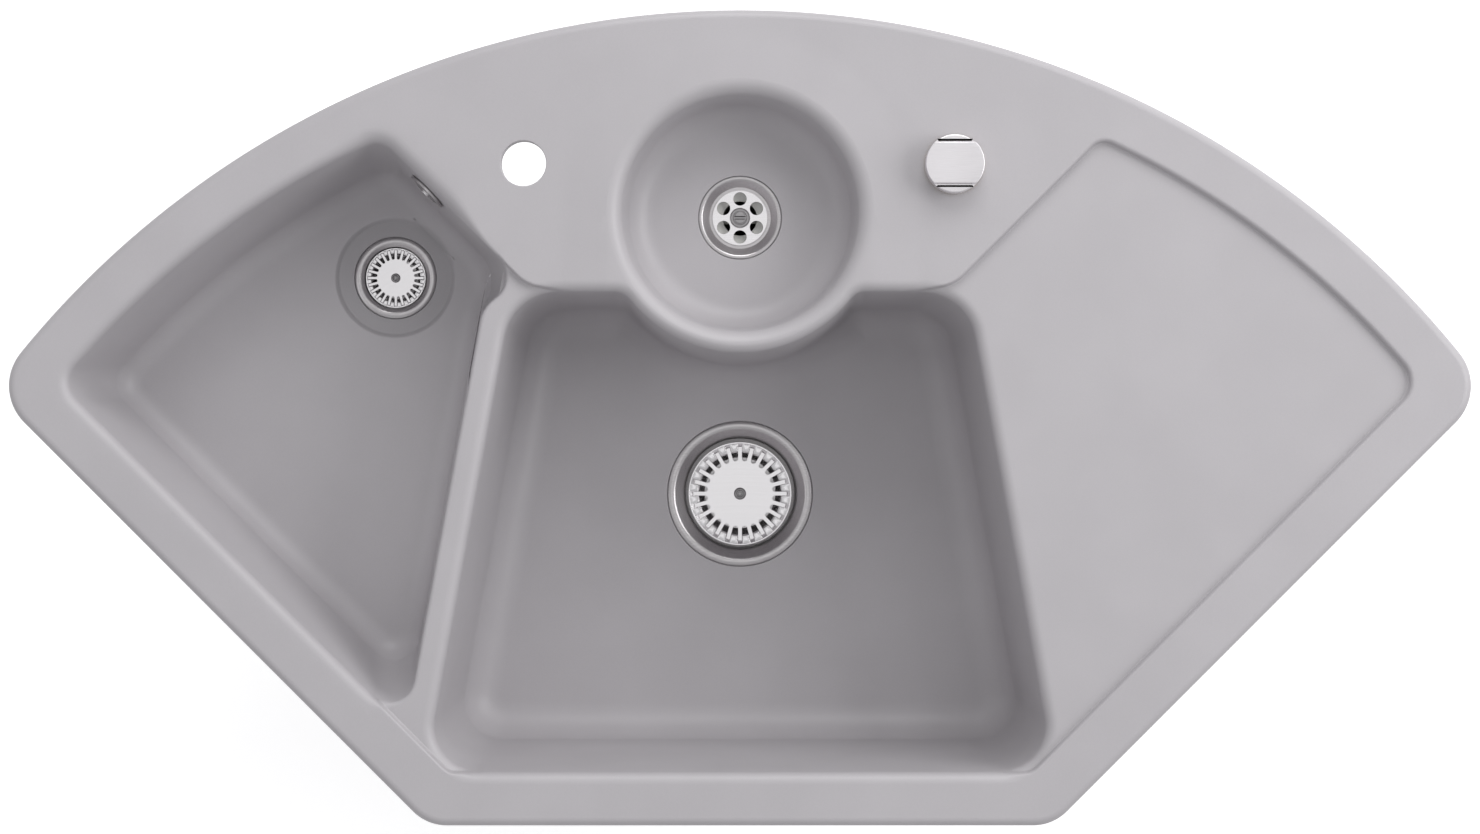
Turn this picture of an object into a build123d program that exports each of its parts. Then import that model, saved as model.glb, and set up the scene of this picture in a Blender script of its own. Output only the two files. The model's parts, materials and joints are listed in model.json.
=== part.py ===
from build123d import *

import os
from dataclasses import dataclass
from math import atan2, cos, hypot, radians, sin, sqrt, tan

# Corner kitchen sink of glazed ceramic: a main basin, a side bowl, a small round bowl and a drainer in one
# piece, with two basket strainers, a perforated waste, an overflow, a pop-up knob and the waste pipes below.
# Millimetres. Z = 0 is the worktop, +Y is the wall corner, and the origin is the middle of the front seat.

# ---------------------------------------------------------------- ceramic body: outline and rim
overall_depth = 594.0
arc_radius = 675.0
front_half_width = 228.0
front_corner_radius = 35.0
side_corner_radius = 38.0
seat_width = 16.0
rim_height = 22.0
rim_edge_radius = 6.0
deck_thickness = 12.0
rim_width = 39.0
rear_rim_width = 37.0
recess_depth = 6.0
recess_edge_radius = 5.0
recess_wall = 8.0

# ---------------------------------------------------------------- ceramic body: bowls
wall_thickness = 10.0
floor_thickness = 12.0
lip_radius = 7.5
divider_width = 19.5
divider_lip_radius = 3.0
shoulder_reach = 208.4
main_front_half = 229.8
main_rear_reach = 57.6
main_side_angle = 10.34
main_depth = 190.0
main_draft = 2.2
main_corner_radius = 33.0
main_floor_corner = 31.0
main_floor_fillet = 27.0
bulge_radius = 102.0
bulge_corner_radius = 15.0
side_bowl_depth = 115.0
side_bowl_draft = 5.5
side_bowl_corner = 18.0
side_bowl_floor_corner = 21.0
side_bowl_floor_fillet = 17.0
small_bowl_back = 155.6
small_bowl_radius = 86.0
small_bowl_depth = 60.0
small_bowl_draft = 5.0
small_bowl_fillet = 20.0

small_lip_radius = 11.0
lowered_corner_radius = 12.0
lowered_side_radius = 20.0
hidden_margin = 16.0
saddle_reach = 26.0
deck_hole_radius = 16.5
deck_hole_rounding = 1.0
tap_x = -157.5
tap_reach = 35.6

# ---------------------------------------------------------------- wastes: shared sizes
sheet = 1.2
basket_sheet = 0.8
bend_radius = 3.0
gasket_thickness = 1.0
gasket_margin = 0.5
body_gasket_thickness = 3.0
body_wall = 3.0
body_gap = 0.7
hole_gap = 1.2
lift_gap = 0.35
finger_count = 24
boss_radius = 5.0
bar_width = 6.0
bar_height = 6.0
screw_radius = 2.4
screw_head_radius = 4.2
screw_head_height = 2.2
screw_length = 9.0
screw_count = 3
thread_gap = 0.1
rivet_head_height = 1.3
rivet_shank = 2.4
rivet_bore = 1.5
rivet_bore_depth = 0.9

# ---------------------------------------------------------------- main waste
main_waste_back = 151.8
main_rebate = 2.5
flow_height = 9.0
main_flange_reach = 60.0
chamber_radius = 26.0
chamber_length = 36.0
main_tail_radius = 24.0
main_tail_length = 20.0

# ---------------------------------------------------------------- side waste
side_waste_x = -263.8
side_waste_reach = 42.3
side_dish_radius = 46.0
side_dish_depth = 3.0
side_rebate = 2.0
side_flow_height = 12.0
side_flange_reach = 38.0
side_tail_length = 28.0
inlet_reach = 48.0
inlet_rise = 1.0

# ---------------------------------------------------------------- small bowl waste
small_rebate = 2.0
small_flange_radius = 30.6
small_lip_width = 2.4
small_cup_radius = 22.6
small_ledge_drop = 3.9
small_throat_radius = 19.4
small_cup_depth = 14.0
small_plate_radius = 20.4
small_plate_thickness = 1.0
small_hole_radius = 5.0
small_hole_circle = 14.2
small_hole_count = 6
small_screw_radius = 7.6
small_collar_height = 0.9
small_head_radius = 4.4
small_screw_height = 2.4
small_slot_width = 2.0
small_slot_depth = 1.4
small_shank_radius = 3.0
small_shank_length = 24.0
small_flange_reach = 33.0
small_body_drop = 12.0
small_tail_length = 35.0

# ---------------------------------------------------------------- pop-up: knob, cable case, lever and pin
knob_x = 155.3
knob_reach = 34.3
knob_radius = 21.9
knob_height = 16.0
knob_bar_width = 30.0
knob_shelf_depth = 5.0
knob_edge_radius = 1.2
knob_gap = 0.5
knob_socket_depth = 11.0
bushing_flange_radius = 20.5
bushing_flange_height = 2.0
bushing_radius = 15.6
bushing_bore = 12.6
bushing_bottom = -14.0
bearing_length = 8.0
spindle_radius = 5.0
running_gap = 0.06
washer_radius = 25.0
washer_thickness = 3.0
nut_height = 8.0
nut_radius = 24.0
case_radius = 19.0
case_height = 24.0
case_wall = 2.0
case_gland_radius = 5.0
case_gland_reach = 34.0
cable_radius = 1.5
rotor_radius = 14.0
rotor_height = 8.0
guide_drop = 24.7
lever_drop = 33.7
lever_arm = 18.0
lever_hub_radius = 5.0
lever_tip_radius = 3.0
lever_thickness = 6.0
lever_swing = 30.0
shaft_radius = 2.5
shaft_reach = 45.0
boss_start = 18.0
boss_reach = 36.0
gland_boss_radius = 6.0
gland_nut_radius = 9.0
gland_nut_end = 38.0
gland_nut_wall = 2.0
gland_nut_length = 8.5
crank_length = 22.0
crank_radius = 4.5
crank_start = 39.5
crank_thickness = 3.0
eye_radius = 1.7
pin_radius = 3.0
pin_rounding = 2.8

# ---------------------------------------------------------------- overflow
overflow_x = -231.0
overflow_depth = 35.0
overflow_hole_radius = 13.0
rosette_radius = 16.0
rosette_thickness = 1.5
rosette_skirt_radius = 12.5
rosette_skirt_depth = 5.0
rosette_hole_radius = 2.2
rosette_hole_circle = 8.5
rosette_hole_count = 8
overflow_screw_radius = 2.0
overflow_screw_head = 4.0
overflow_gasket = 2.0
overflow_case_radius = 20.0
overflow_case_depth = 26.0
overflow_case_wall = 2.0
overflow_boss_length = 10.0
spigot_radius = 10.0
spigot_bore = 8.0
spigot_reach = 45.0
spigot_inset = 26.0
overflow_sleeve = 15.0
overflow_sleeve_gap = 0.1
overflow_pipe_wall = 2.0
overflow_pipe_bend = 30.0

# ---------------------------------------------------------------- waste pipes
pipe_radius = 20.0
pipe_bore = 17.5
socket_gap = 0.2
socket_wall = 3.3
socket_depth = 22.0
pipe_bend = 45.0
branch_drop = 62.0
branch_stop = 40.0
cross_bore = 21.0
cross_wall = 3.5
cross_foot = 25.0
outlet_length = 25.0
outlet_root = 2.0
nut_length = 16.0
slip_nut_wall = 5.0
slip_nut_end = 2.5
nut_sides = 12

# ---------------------------------------------------------------- outline geometry
os.makedirs("parts", exist_ok=True)
front_y = -seat_width / 2
arc_y = front_y + overall_depth - arc_radius
recess_z = rim_height - recess_depth
deck_underside = rim_height - deck_thickness
main_floor_z = rim_height - main_depth
side_floor_z = rim_height - side_bowl_depth
small_floor_z = rim_height - small_bowl_depth
small_bowl_y = overall_depth - small_bowl_back
main_rear_y = small_bowl_y - main_rear_reach
shoulder_y = small_bowl_y - shoulder_reach
main_waste_y = main_rear_y - main_waste_back
side_waste_y = small_bowl_y - side_waste_reach
tap_y = small_bowl_y + tap_reach
knob_y = small_bowl_y + knob_reach


@dataclass(frozen=True)
class Side:
    """Straight side a*x + b*y = c of an outline; (a, b) is the unit normal that points into it."""

    a: float
    b: float
    c: float

    def inset(self, distance):
        return Side(self.a, self.b, self.c + distance)

    def mirrored(self):
        return Side(-self.a, self.b, self.c)

    def meet(self, other):
        """Point where two sides cross."""
        det = self.a * other.b - other.a * self.b
        return (self.c * other.b - other.c * self.b) / det, (self.a * other.c - other.a * self.c) / det

    def along(self, point, distance):
        """Point moved along the side, towards the left of its normal."""
        return point[0] - self.b * distance, point[1] + self.a * distance

    def meet_circle(self, centre_y, radius, way):
        """Point where the side cuts a circle centred on x = 0, on the way = +1 or -1 end of the chord."""
        gap = self.c - self.b * centre_y
        half_chord = sqrt(radius**2 - gap**2)
        return self.along((self.a * gap, centre_y + self.b * gap), way * half_chord)


@dataclass(frozen=True)
class Corner:
    """Corner of an outline, its rounding, and the middle of the arc to the next corner where there is one."""

    at: tuple
    radius: float
    via: tuple = None


def arc_middle(start, end, centre_y, radius):
    """Middle of the arc from start to end on a circle centred on x = 0."""
    angle = (atan2(start[1] - centre_y, start[0]) + atan2(end[1] - centre_y, end[0])) / 2
    return radius * cos(angle), centre_y + radius * sin(angle)


def outline(plane, corners):
    """Face with rounded corners on the plane."""
    with BuildSketch(plane) as face:
        with BuildLine():
            for here, there in zip(corners, corners[1:] + corners[:1]):
                if here.via:
                    ThreePointArc(here.at, here.via, there.at)
                else:
                    Line(here.at, there.at)
        make_face()
        for corner in corners:
            if corner.radius:
                fillet(face.vertices().sort_by_distance(corner.at)[0], corner.radius)
    return face.sketch


front_side = Side(0, 1, front_y)
left_side = Side(sqrt(0.5), sqrt(0.5), (front_y - front_half_width) * sqrt(0.5))
shoulder_side = Side(-sqrt(0.5), -sqrt(0.5), -shoulder_y * sqrt(0.5))
basin_front = front_side.inset(rim_width)
side_cos = cos(radians(main_side_angle))
side_sin = sin(radians(main_side_angle))
basin_left = Side(side_cos, -side_sin, -main_front_half * side_cos - basin_front.c * side_sin)
divider_side = Side(-side_cos, side_sin, divider_width - basin_left.c)


def rim_corners(inset, rear_inset, front_radius, side_radius):
    """Whole outline of the sink, drawn in by inset at the front and sides and by rear_inset at the arc."""
    radius = arc_radius - rear_inset
    side = left_side.inset(inset)
    front_left = front_side.inset(inset).meet(side)
    left = side.meet_circle(arc_y, radius, 1)
    right = (-left[0], left[1])
    return [
        Corner(front_left, front_radius),
        Corner((-front_left[0], front_left[1]), front_radius),
        Corner(right, side_radius, (0, arc_y + radius)),
        Corner(left, side_radius),
    ]


def basin_corners(inset, corner_radius, bulge_turn=bulge_corner_radius):
    """Main basin: splayed sides, and a rear edge that bulges in round the small bowl."""
    front_left = basin_front.inset(inset).meet(basin_left.inset(inset))
    rear = Side(0, -1, -main_rear_y).inset(inset)
    rear_left = rear.meet(basin_left.inset(inset))
    radius = bulge_radius + inset
    bulge_left = rear.meet_circle(small_bowl_y, radius, -1)
    return [
        Corner(front_left, corner_radius),
        Corner((-front_left[0], front_left[1]), corner_radius),
        Corner((-rear_left[0], rear_left[1]), corner_radius),
        Corner((-bulge_left[0], bulge_left[1]), bulge_turn, (0, small_bowl_y - radius)),
        Corner(bulge_left, bulge_turn),
        Corner(rear_left, corner_radius),
    ]


def side_bowl_corners(inset, corner_radius):
    """Side bowl: along the rim's arc and left side, the divider and the shoulder."""
    radius = arc_radius - rear_rim_width - inset
    side = left_side.inset(rim_width + inset)
    shoulder = shoulder_side.inset(inset)
    divider = divider_side.inset(inset)
    rear = shoulder.meet_circle(arc_y, radius, -1)
    left = side.meet_circle(arc_y, radius, 1)
    return [
        Corner(divider.meet(side), corner_radius),
        Corner(divider.meet(shoulder), corner_radius),
        Corner(rear, corner_radius, arc_middle(rear, left, arc_y, radius)),
        Corner(left, corner_radius),
    ]


def recess_corners(inset, corner_radius, side_radius):
    """Lowered field: the drainer, both saddles and the divider's top; its hidden sides lie in the bowls."""
    radius = arc_radius - rear_rim_width - inset
    left = left_side.inset(rim_width + inset)
    right = left.mirrored()
    front_left = front_side.inset(rim_width + inset).meet(left)
    shoulder = shoulder_side.inset(inset).mirrored()
    outer = right.meet_circle(arc_y, radius, -1)
    rear = shoulder.meet_circle(arc_y, radius, 1)
    in_basin = shoulder.meet(Side(0, 1, small_bowl_y - bulge_radius - hidden_margin))
    bowl_front = left.along(divider_side.meet(left), -saddle_reach)
    bowl_rear = shoulder_side.inset(inset).along(divider_side.meet(shoulder_side), saddle_reach / 4)
    return [
        Corner(front_left, corner_radius),
        Corner((-front_left[0], front_left[1]), corner_radius),
        Corner(outer, side_radius, arc_middle(outer, rear, arc_y, radius)),
        Corner(rear, corner_radius),
        Corner(in_basin, corner_radius),
        Corner((-in_basin[0], in_basin[1]), corner_radius),
        Corner(bowl_rear, corner_radius / 2),
        Corner((bowl_rear[0] - hidden_margin, bowl_rear[1] - 2 * hidden_margin), corner_radius / 2),
        Corner((bowl_front[0], bowl_front[1] + hidden_margin), corner_radius / 2),
        Corner(bowl_front, corner_radius / 2),
    ]


def draw_bowl(solid, top_z, floor_z, top_corners, floor_corners, floor_fillet):
    """Loft between a top and a floor outline, and round the floor's edge."""
    loft([outline(Plane.XY.offset(top_z), top_corners), outline(Plane.XY.offset(floor_z), floor_corners)])
    fillet(solid.faces().sort_by(Axis.Z)[0].edges(), floor_fillet)


def flare_mouth(space, top_z, lip):
    """Clear everything above top_z and round the mouth of the space outwards into it."""
    with BuildSketch(Plane.XY.offset(top_z)) as above:
        Rectangle(4 * arc_radius, 4 * arc_radius)
    extrude(above.sketch, amount=rim_height)
    underside = space.faces().filter_by(Axis.Z).sort_by(lambda face: abs(face.center().Z - top_z))[0]
    fillet(underside.inner_wires()[0].edges(), lip)


def turn(x, y, profile, mode=Mode.ADD):
    """Revolve a profile of (radius, height) or (radius, height, rounding) about the upright axis at x, y."""
    with BuildSketch(Plane((x, y, 0), x_dir=(1, 0, 0), z_dir=(0, -1, 0))) as section:
        with BuildLine():
            Polyline(*[point[:2] for point in profile], close=True)
        make_face()
        for point in profile:
            if len(point) == 3:
                fillet(section.vertices().sort_by_distance(point[:2])[0], point[2])
    revolve(section.sketch, axis=Axis((x, y, 0), (0, 0, 1)), mode=mode)


def ring(x, y, inner, outer, low, high, mode=Mode.ADD):
    """Upright ring, or a disc where inner is 0."""
    turn(x, y, [(inner, low), (outer, low), (outer, high), (inner, high)], mode)


def rod(plane, radius, start, end, mode=Mode.ADD):
    """Round bar along a plane's normal, between two distances from it."""
    with BuildSketch(plane.offset(start)) as section:
        Circle(radius)
    extrude(section.sketch, amount=end - start, mode=mode)


def bar(x, y, length, low, mode=Mode.ADD):
    """Crossbar along X, with its underside at low."""
    with BuildSketch(Plane((x, y, low))) as section:
        Rectangle(length, bar_width)
    extrude(section.sketch, amount=bar_height, mode=mode)


def around(x, y, radius, count, start=90.0):
    """Points evenly round an upright axis, the first at the start angle."""
    angles = [radians(start + 360 * step / count) for step in range(count)]
    return [(x + radius * cos(angle), y + radius * sin(angle)) for angle in angles]


def tube(points, bend, bore, outer):
    """Pipe along points, with its corners bent to a radius."""
    with BuildLine() as path:
        FilletPolyline(*points, radius=bend)
    start = Plane(path.line @ 0, z_dir=path.line % 0)
    with BuildSketch(start) as section:
        Circle(outer)
        Circle(bore, mode=Mode.SUBTRACT)
    sweep(section.sketch, path=path.line)


def save(piece, name):
    """Label a piece and write its STEP file."""
    piece.part.label = name
    export_step(piece.part, f"parts/{name}.step")


@dataclass(frozen=True)
class Waste:
    """Sizes of one basket waste about its upright axis; seat is the ceramic face its lip is bedded on."""

    x: float
    y: float
    seat: float
    underside: float
    lip: float
    lip_width: float
    dish: float
    cup: float
    cup_depth: float
    rim: float
    rim_drop: float
    throat: float
    throat_drop: float
    basket_wall: float
    basket_depth: float
    disc: float
    valley: float
    reach: float
    finger: float
    rivet: float
    valve: float
    seal: float
    screw_circle: float

    @property
    def hole(self):
        return self.cup + hole_gap

    @property
    def lip_top(self):
        return self.seat + gasket_thickness + sheet

    @property
    def cup_bottom(self):
        return self.lip_top - self.cup_depth

    @property
    def rim_z(self):
        return self.lip_top - self.rim_drop

    @property
    def basket_floor(self):
        return self.lip_top - self.basket_depth

    @property
    def seal_bottom(self):
        return self.cup_bottom + sheet + lift_gap

    @property
    def plate_z(self):
        """Underside of the perforated plate, whose fingers end on the basket's cone."""
        edge = self.rim - basket_sheet
        return self.rim_z - self.throat_drop * (edge - self.reach) / (edge - self.throat) + thread_gap

    @property
    def cup_screws(self):
        return around(self.x, self.y, self.screw_circle, screw_count)

    def cut_seat(self, top):
        """Stepped hole in the ceramic, opening into the bowl at top."""
        flat = self.lip - self.lip_width
        profile = [
            (0, top + floor_thickness),
            (self.lip + gasket_margin, top + floor_thickness),
            (self.lip + gasket_margin, self.seat),
            (flat, self.seat),
            (self.hole, self.seat - self.dish - gasket_thickness),
            (self.hole, self.underside - floor_thickness),
            (0, self.underside - floor_thickness),
        ]
        turn(self.x, self.y, profile, Mode.SUBTRACT)

    def draw_flange(self):
        """Pressed lip and cup, with the valve opening and the screw holes in its bottom."""
        flat = self.lip - self.lip_width
        inner = self.cup - sheet
        profile = [
            (self.valve, self.cup_bottom),
            (self.cup, self.cup_bottom, bend_radius),
            (self.cup, self.lip_top - self.dish - sheet / 2),
            (flat - sheet / 4, self.lip_top - sheet),
            (self.lip, self.lip_top - sheet),
            (self.lip, self.lip_top, sheet / 2),
            (flat, self.lip_top),
            (inner, self.lip_top - self.dish),
            (inner, self.cup_bottom + sheet, bend_radius - sheet),
            (self.valve, self.cup_bottom + sheet),
        ]
        turn(self.x, self.y, profile)
        for x, y in self.cup_screws:
            high = self.cup_bottom + 2 * sheet
            ring(x, y, 0, screw_radius + thread_gap, self.cup_bottom - sheet, high, Mode.SUBTRACT)

    def draw_flange_gasket(self):
        inner = self.lip - self.lip_width + gasket_margin
        ring(self.x, self.y, inner, self.lip - gasket_margin, self.seat, self.seat + gasket_thickness)

    def draw_body_gasket(self, reach):
        low = self.underside - body_gasket_thickness
        ring(self.x, self.y, self.hole + gasket_thickness, reach - gasket_thickness, low, self.underside)

    def draw_screws(self):
        """Screws through the cup's bottom into the bosses of the housing."""
        seat = self.cup_bottom + sheet
        for x, y in self.cup_screws:
            profile = [
                (0, seat + screw_head_height),
                (screw_head_radius, seat + screw_head_height, screw_head_height / 2),
                (screw_head_radius, seat),
                (screw_radius, seat),
                (screw_radius, seat - screw_length),
                (0, seat - screw_length),
            ]
            turn(x, y, profile)

    def draw_housing(self, reach, flow, steps):
        """Moulded housing round the cup; steps are the bores below its floor as (bore, wall, end height)."""
        bore = self.cup + body_gap
        top = self.underside - body_gasket_thickness
        floor = self.cup_bottom - flow
        ring(self.x, self.y, bore, reach, top - body_wall, top)
        ring(self.x, self.y, bore, bore + body_wall, floor - body_wall, top)
        for x, y in self.cup_screws:
            ring(x, y, 0, boss_radius, floor - body_wall, self.cup_bottom)
        turn_bore = steps[0][0]
        ring(self.x, self.y, turn_bore, bore + body_wall, floor - body_wall, floor)
        start = floor
        last_bore = turn_bore
        for step_bore, wall, end in steps:
            ring(self.x, self.y, step_bore, last_bore + wall, start - body_wall, start)
            ring(self.x, self.y, step_bore, step_bore + wall, end, start)
            start = end
            last_bore = step_bore
        for x, y in self.cup_screws:
            low = self.cup_bottom + sheet - screw_length
            ring(x, y, 0, screw_radius + thread_gap, low, self.cup_bottom + sheet, Mode.SUBTRACT)

    def draw_basket(self):
        """Pressed basket: rolled rim, bright cone, slotted wall and a flat bottom."""
        low = self.basket_floor
        profile = [
            (rivet_shank + thread_gap, low),
            (self.basket_wall, low, bend_radius),
            (self.throat + basket_sheet, self.rim_z - self.throat_drop - basket_sheet),
            (self.rim, self.rim_z - basket_sheet),
            (self.rim, self.rim_z),
            (self.rim - basket_sheet, self.rim_z),
            (self.throat, self.rim_z - self.throat_drop),
            (self.basket_wall - basket_sheet, low + basket_sheet, bend_radius - basket_sheet),
            (rivet_shank + thread_gap, low + basket_sheet),
        ]
        turn(self.x, self.y, profile)
        slot_low = low + bend_radius + sheet
        slot_high = self.rim_z - self.throat_drop - bend_radius
        with BuildSketch(Plane((self.x, self.y, slot_low))) as slots:
            with PolarLocations(self.basket_wall, finger_count):
                Rectangle(2 * bend_radius, self.finger * 2 / 3)
        extrude(slots.sketch, amount=slot_high - slot_low, mode=Mode.SUBTRACT)

    def draw_plate(self):
        """Perforated plate: a disc with fingers of equal width, and round-ended gaps between them."""
        half_step = radians(180 / finger_count)
        outer = self.reach + sheet

        def half_gap(radius):
            return radius * tan(half_step) - self.finger / 2 / cos(half_step)

        first = self.disc + self.valley
        with BuildSketch() as gap:
            with BuildLine():
                Polyline(
                    (first, -half_gap(first)),
                    (outer, -half_gap(outer)),
                    (outer, half_gap(outer)),
                    (first, half_gap(first)),
                    close=True,
                )
            make_face()
            with Locations((first, 0)):
                Circle(half_gap(first))
        with BuildSketch(Plane((self.x, self.y, self.plate_z))) as plate:
            Circle(self.reach)
            Circle(rivet_shank + thread_gap, mode=Mode.SUBTRACT)
            with PolarLocations(0, finger_count, start_angle=180 / finger_count):
                add(gap.sketch, mode=Mode.SUBTRACT)
        extrude(plate.sketch, amount=basket_sheet)

    def draw_rivet(self, foot):
        """Rivet through the plate, the basket's bottom and the seal, with a foot of the given radius."""
        top = self.plate_z + basket_sheet
        profile = [
            (0, self.cup_bottom),
            (foot, self.cup_bottom),
            (foot, self.seal_bottom),
            (rivet_shank, self.seal_bottom),
            (rivet_shank, top),
            (self.rivet, top),
            (self.rivet, top + rivet_head_height, rivet_head_height / 2),
            (rivet_bore, top + rivet_head_height),
            (rivet_bore, top + rivet_head_height - rivet_bore_depth),
            (0, top + rivet_head_height - rivet_bore_depth),
        ]
        turn(self.x, self.y, profile)

    def draw_seal(self):
        """Rubber valve washer under the basket."""
        profile = [
            (rivet_shank + thread_gap, self.seal_bottom),
            (self.seal, self.seal_bottom),
            (self.seal, self.seal_bottom + sheet),
            (self.seal - sheet, self.basket_floor),
            (rivet_shank + thread_gap, self.basket_floor),
        ]
        turn(self.x, self.y, profile)


main_waste = Waste(
    x=0,
    y=main_waste_y,
    seat=main_floor_z - main_rebate,
    underside=main_floor_z - floor_thickness,
    lip=57.0,
    lip_width=5.0,
    dish=4.0,
    cup=44.8,
    cup_depth=39.0,
    rim=40.6,
    rim_drop=3.0,
    throat=32.5,
    throat_drop=4.0,
    basket_wall=31.0,
    basket_depth=32.0,
    disc=26.2,
    valley=1.7,
    reach=37.0,
    finger=3.0,
    rivet=4.8,
    valve=17.0,
    seal=22.0,
    screw_circle=33.0,
)
side_waste = Waste(
    x=side_waste_x,
    y=side_waste_y,
    seat=side_floor_z - side_dish_depth - side_rebate,
    underside=side_floor_z - floor_thickness,
    lip=31.0,
    lip_width=3.2,
    dish=2.5,
    cup=25.2,
    cup_depth=26.0,
    rim=22.8,
    rim_drop=2.0,
    throat=18.6,
    throat_drop=2.5,
    basket_wall=18.0,
    basket_depth=21.2,
    disc=14.2,
    valley=1.1,
    reach=21.3,
    finger=1.7,
    rivet=3.6,
    valve=9.0,
    seal=11.2,
    screw_circle=16.5,
)

guide_z = main_waste.cup_bottom - guide_drop
lever_z = main_waste.cup_bottom - lever_drop
branch_z = lever_z - branch_drop
cross_bottom = branch_z - cross_foot

# ---------------------------------------------------------------- ceramic body
main_inset = main_depth * tan(radians(main_draft))
side_inset = side_bowl_depth * tan(radians(side_bowl_draft))
small_floor_radius = small_bowl_radius - small_bowl_depth * tan(radians(small_bowl_draft))
main_underside = main_floor_z - floor_thickness
side_underside = side_floor_z - floor_thickness
small_underside = small_floor_z - floor_thickness
basin_top = basin_corners(0, main_corner_radius, bulge_corner_radius)
basin_floor = basin_corners(main_inset, main_floor_corner, bulge_corner_radius + main_inset)
side_top = side_bowl_corners(0, side_bowl_corner)
side_floor = side_bowl_corners(side_inset, side_bowl_floor_corner)
lowered = recess_corners(0, lowered_corner_radius, lowered_side_radius)

overflow_out = overflow_depth * tan(radians(side_bowl_draft))
overflow_side = shoulder_side.inset(overflow_out)
overflow_y = (overflow_side.c - overflow_side.a * overflow_x) / overflow_side.b
overflow_fall = tan(radians(side_bowl_draft))
overflow_wall = (wall_thickness + deck_thickness * overflow_fall) * cos(radians(side_bowl_draft))
overflow_plane = Plane(
    (overflow_x, overflow_y, rim_height - overflow_depth),
    x_dir=(sqrt(0.5), -sqrt(0.5), 0),
    z_dir=(sqrt(0.5), sqrt(0.5), -overflow_fall),
)

with BuildPart() as basin_space:
    draw_bowl(basin_space, rim_height, main_floor_z, basin_top, basin_floor, main_floor_fillet)
    flare_mouth(basin_space, rim_height, lip_radius)

with BuildPart() as side_space:
    draw_bowl(side_space, rim_height, side_floor_z, side_top, side_floor, side_bowl_floor_fillet)
    flare_mouth(side_space, rim_height, lip_radius)

with BuildPart() as recess_space:
    extrude(outline(Plane.XY.offset(recess_z), lowered), amount=recess_depth)
    flare_mouth(recess_space, rim_height, recess_edge_radius)

# The two bowls again with their lips at the lowered level, kept to the lowered field.
with BuildPart() as basin_edge:
    draw_bowl(basin_edge, recess_z, main_floor_z, basin_top, basin_floor, main_floor_fillet)
    flare_mouth(basin_edge, recess_z, lip_radius)
    field = outline(Plane.XY.offset(main_floor_z), lowered)
    extrude(field, amount=main_depth + rim_height, mode=Mode.INTERSECT)

with BuildPart() as side_edge:
    draw_bowl(side_edge, recess_z, side_floor_z, side_top, side_floor, side_bowl_floor_fillet)
    flare_mouth(side_edge, recess_z, divider_lip_radius)
    extrude(field, amount=main_depth + rim_height, mode=Mode.INTERSECT)

with BuildPart() as basin_shell:
    turn_radius = bulge_corner_radius + wall_thickness
    shell_top = basin_corners(-wall_thickness, main_corner_radius + wall_thickness, turn_radius)
    turn_radius = main_floor_corner
    shell_floor = basin_corners(main_inset - wall_thickness, main_floor_corner + wall_thickness, turn_radius)
    shell_fillet = main_floor_fillet + wall_thickness / 2
    draw_bowl(basin_shell, deck_underside, main_underside, shell_top, shell_floor, shell_fillet)

with BuildPart() as side_shell:
    shell_top = side_bowl_corners(-wall_thickness, side_bowl_corner + wall_thickness)
    shell_floor = side_bowl_corners(side_inset - wall_thickness, side_bowl_floor_corner + wall_thickness)
    shell_fillet = side_bowl_floor_fillet + wall_thickness
    draw_bowl(side_shell, deck_underside, side_underside, shell_top, shell_floor, shell_fillet)

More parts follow.
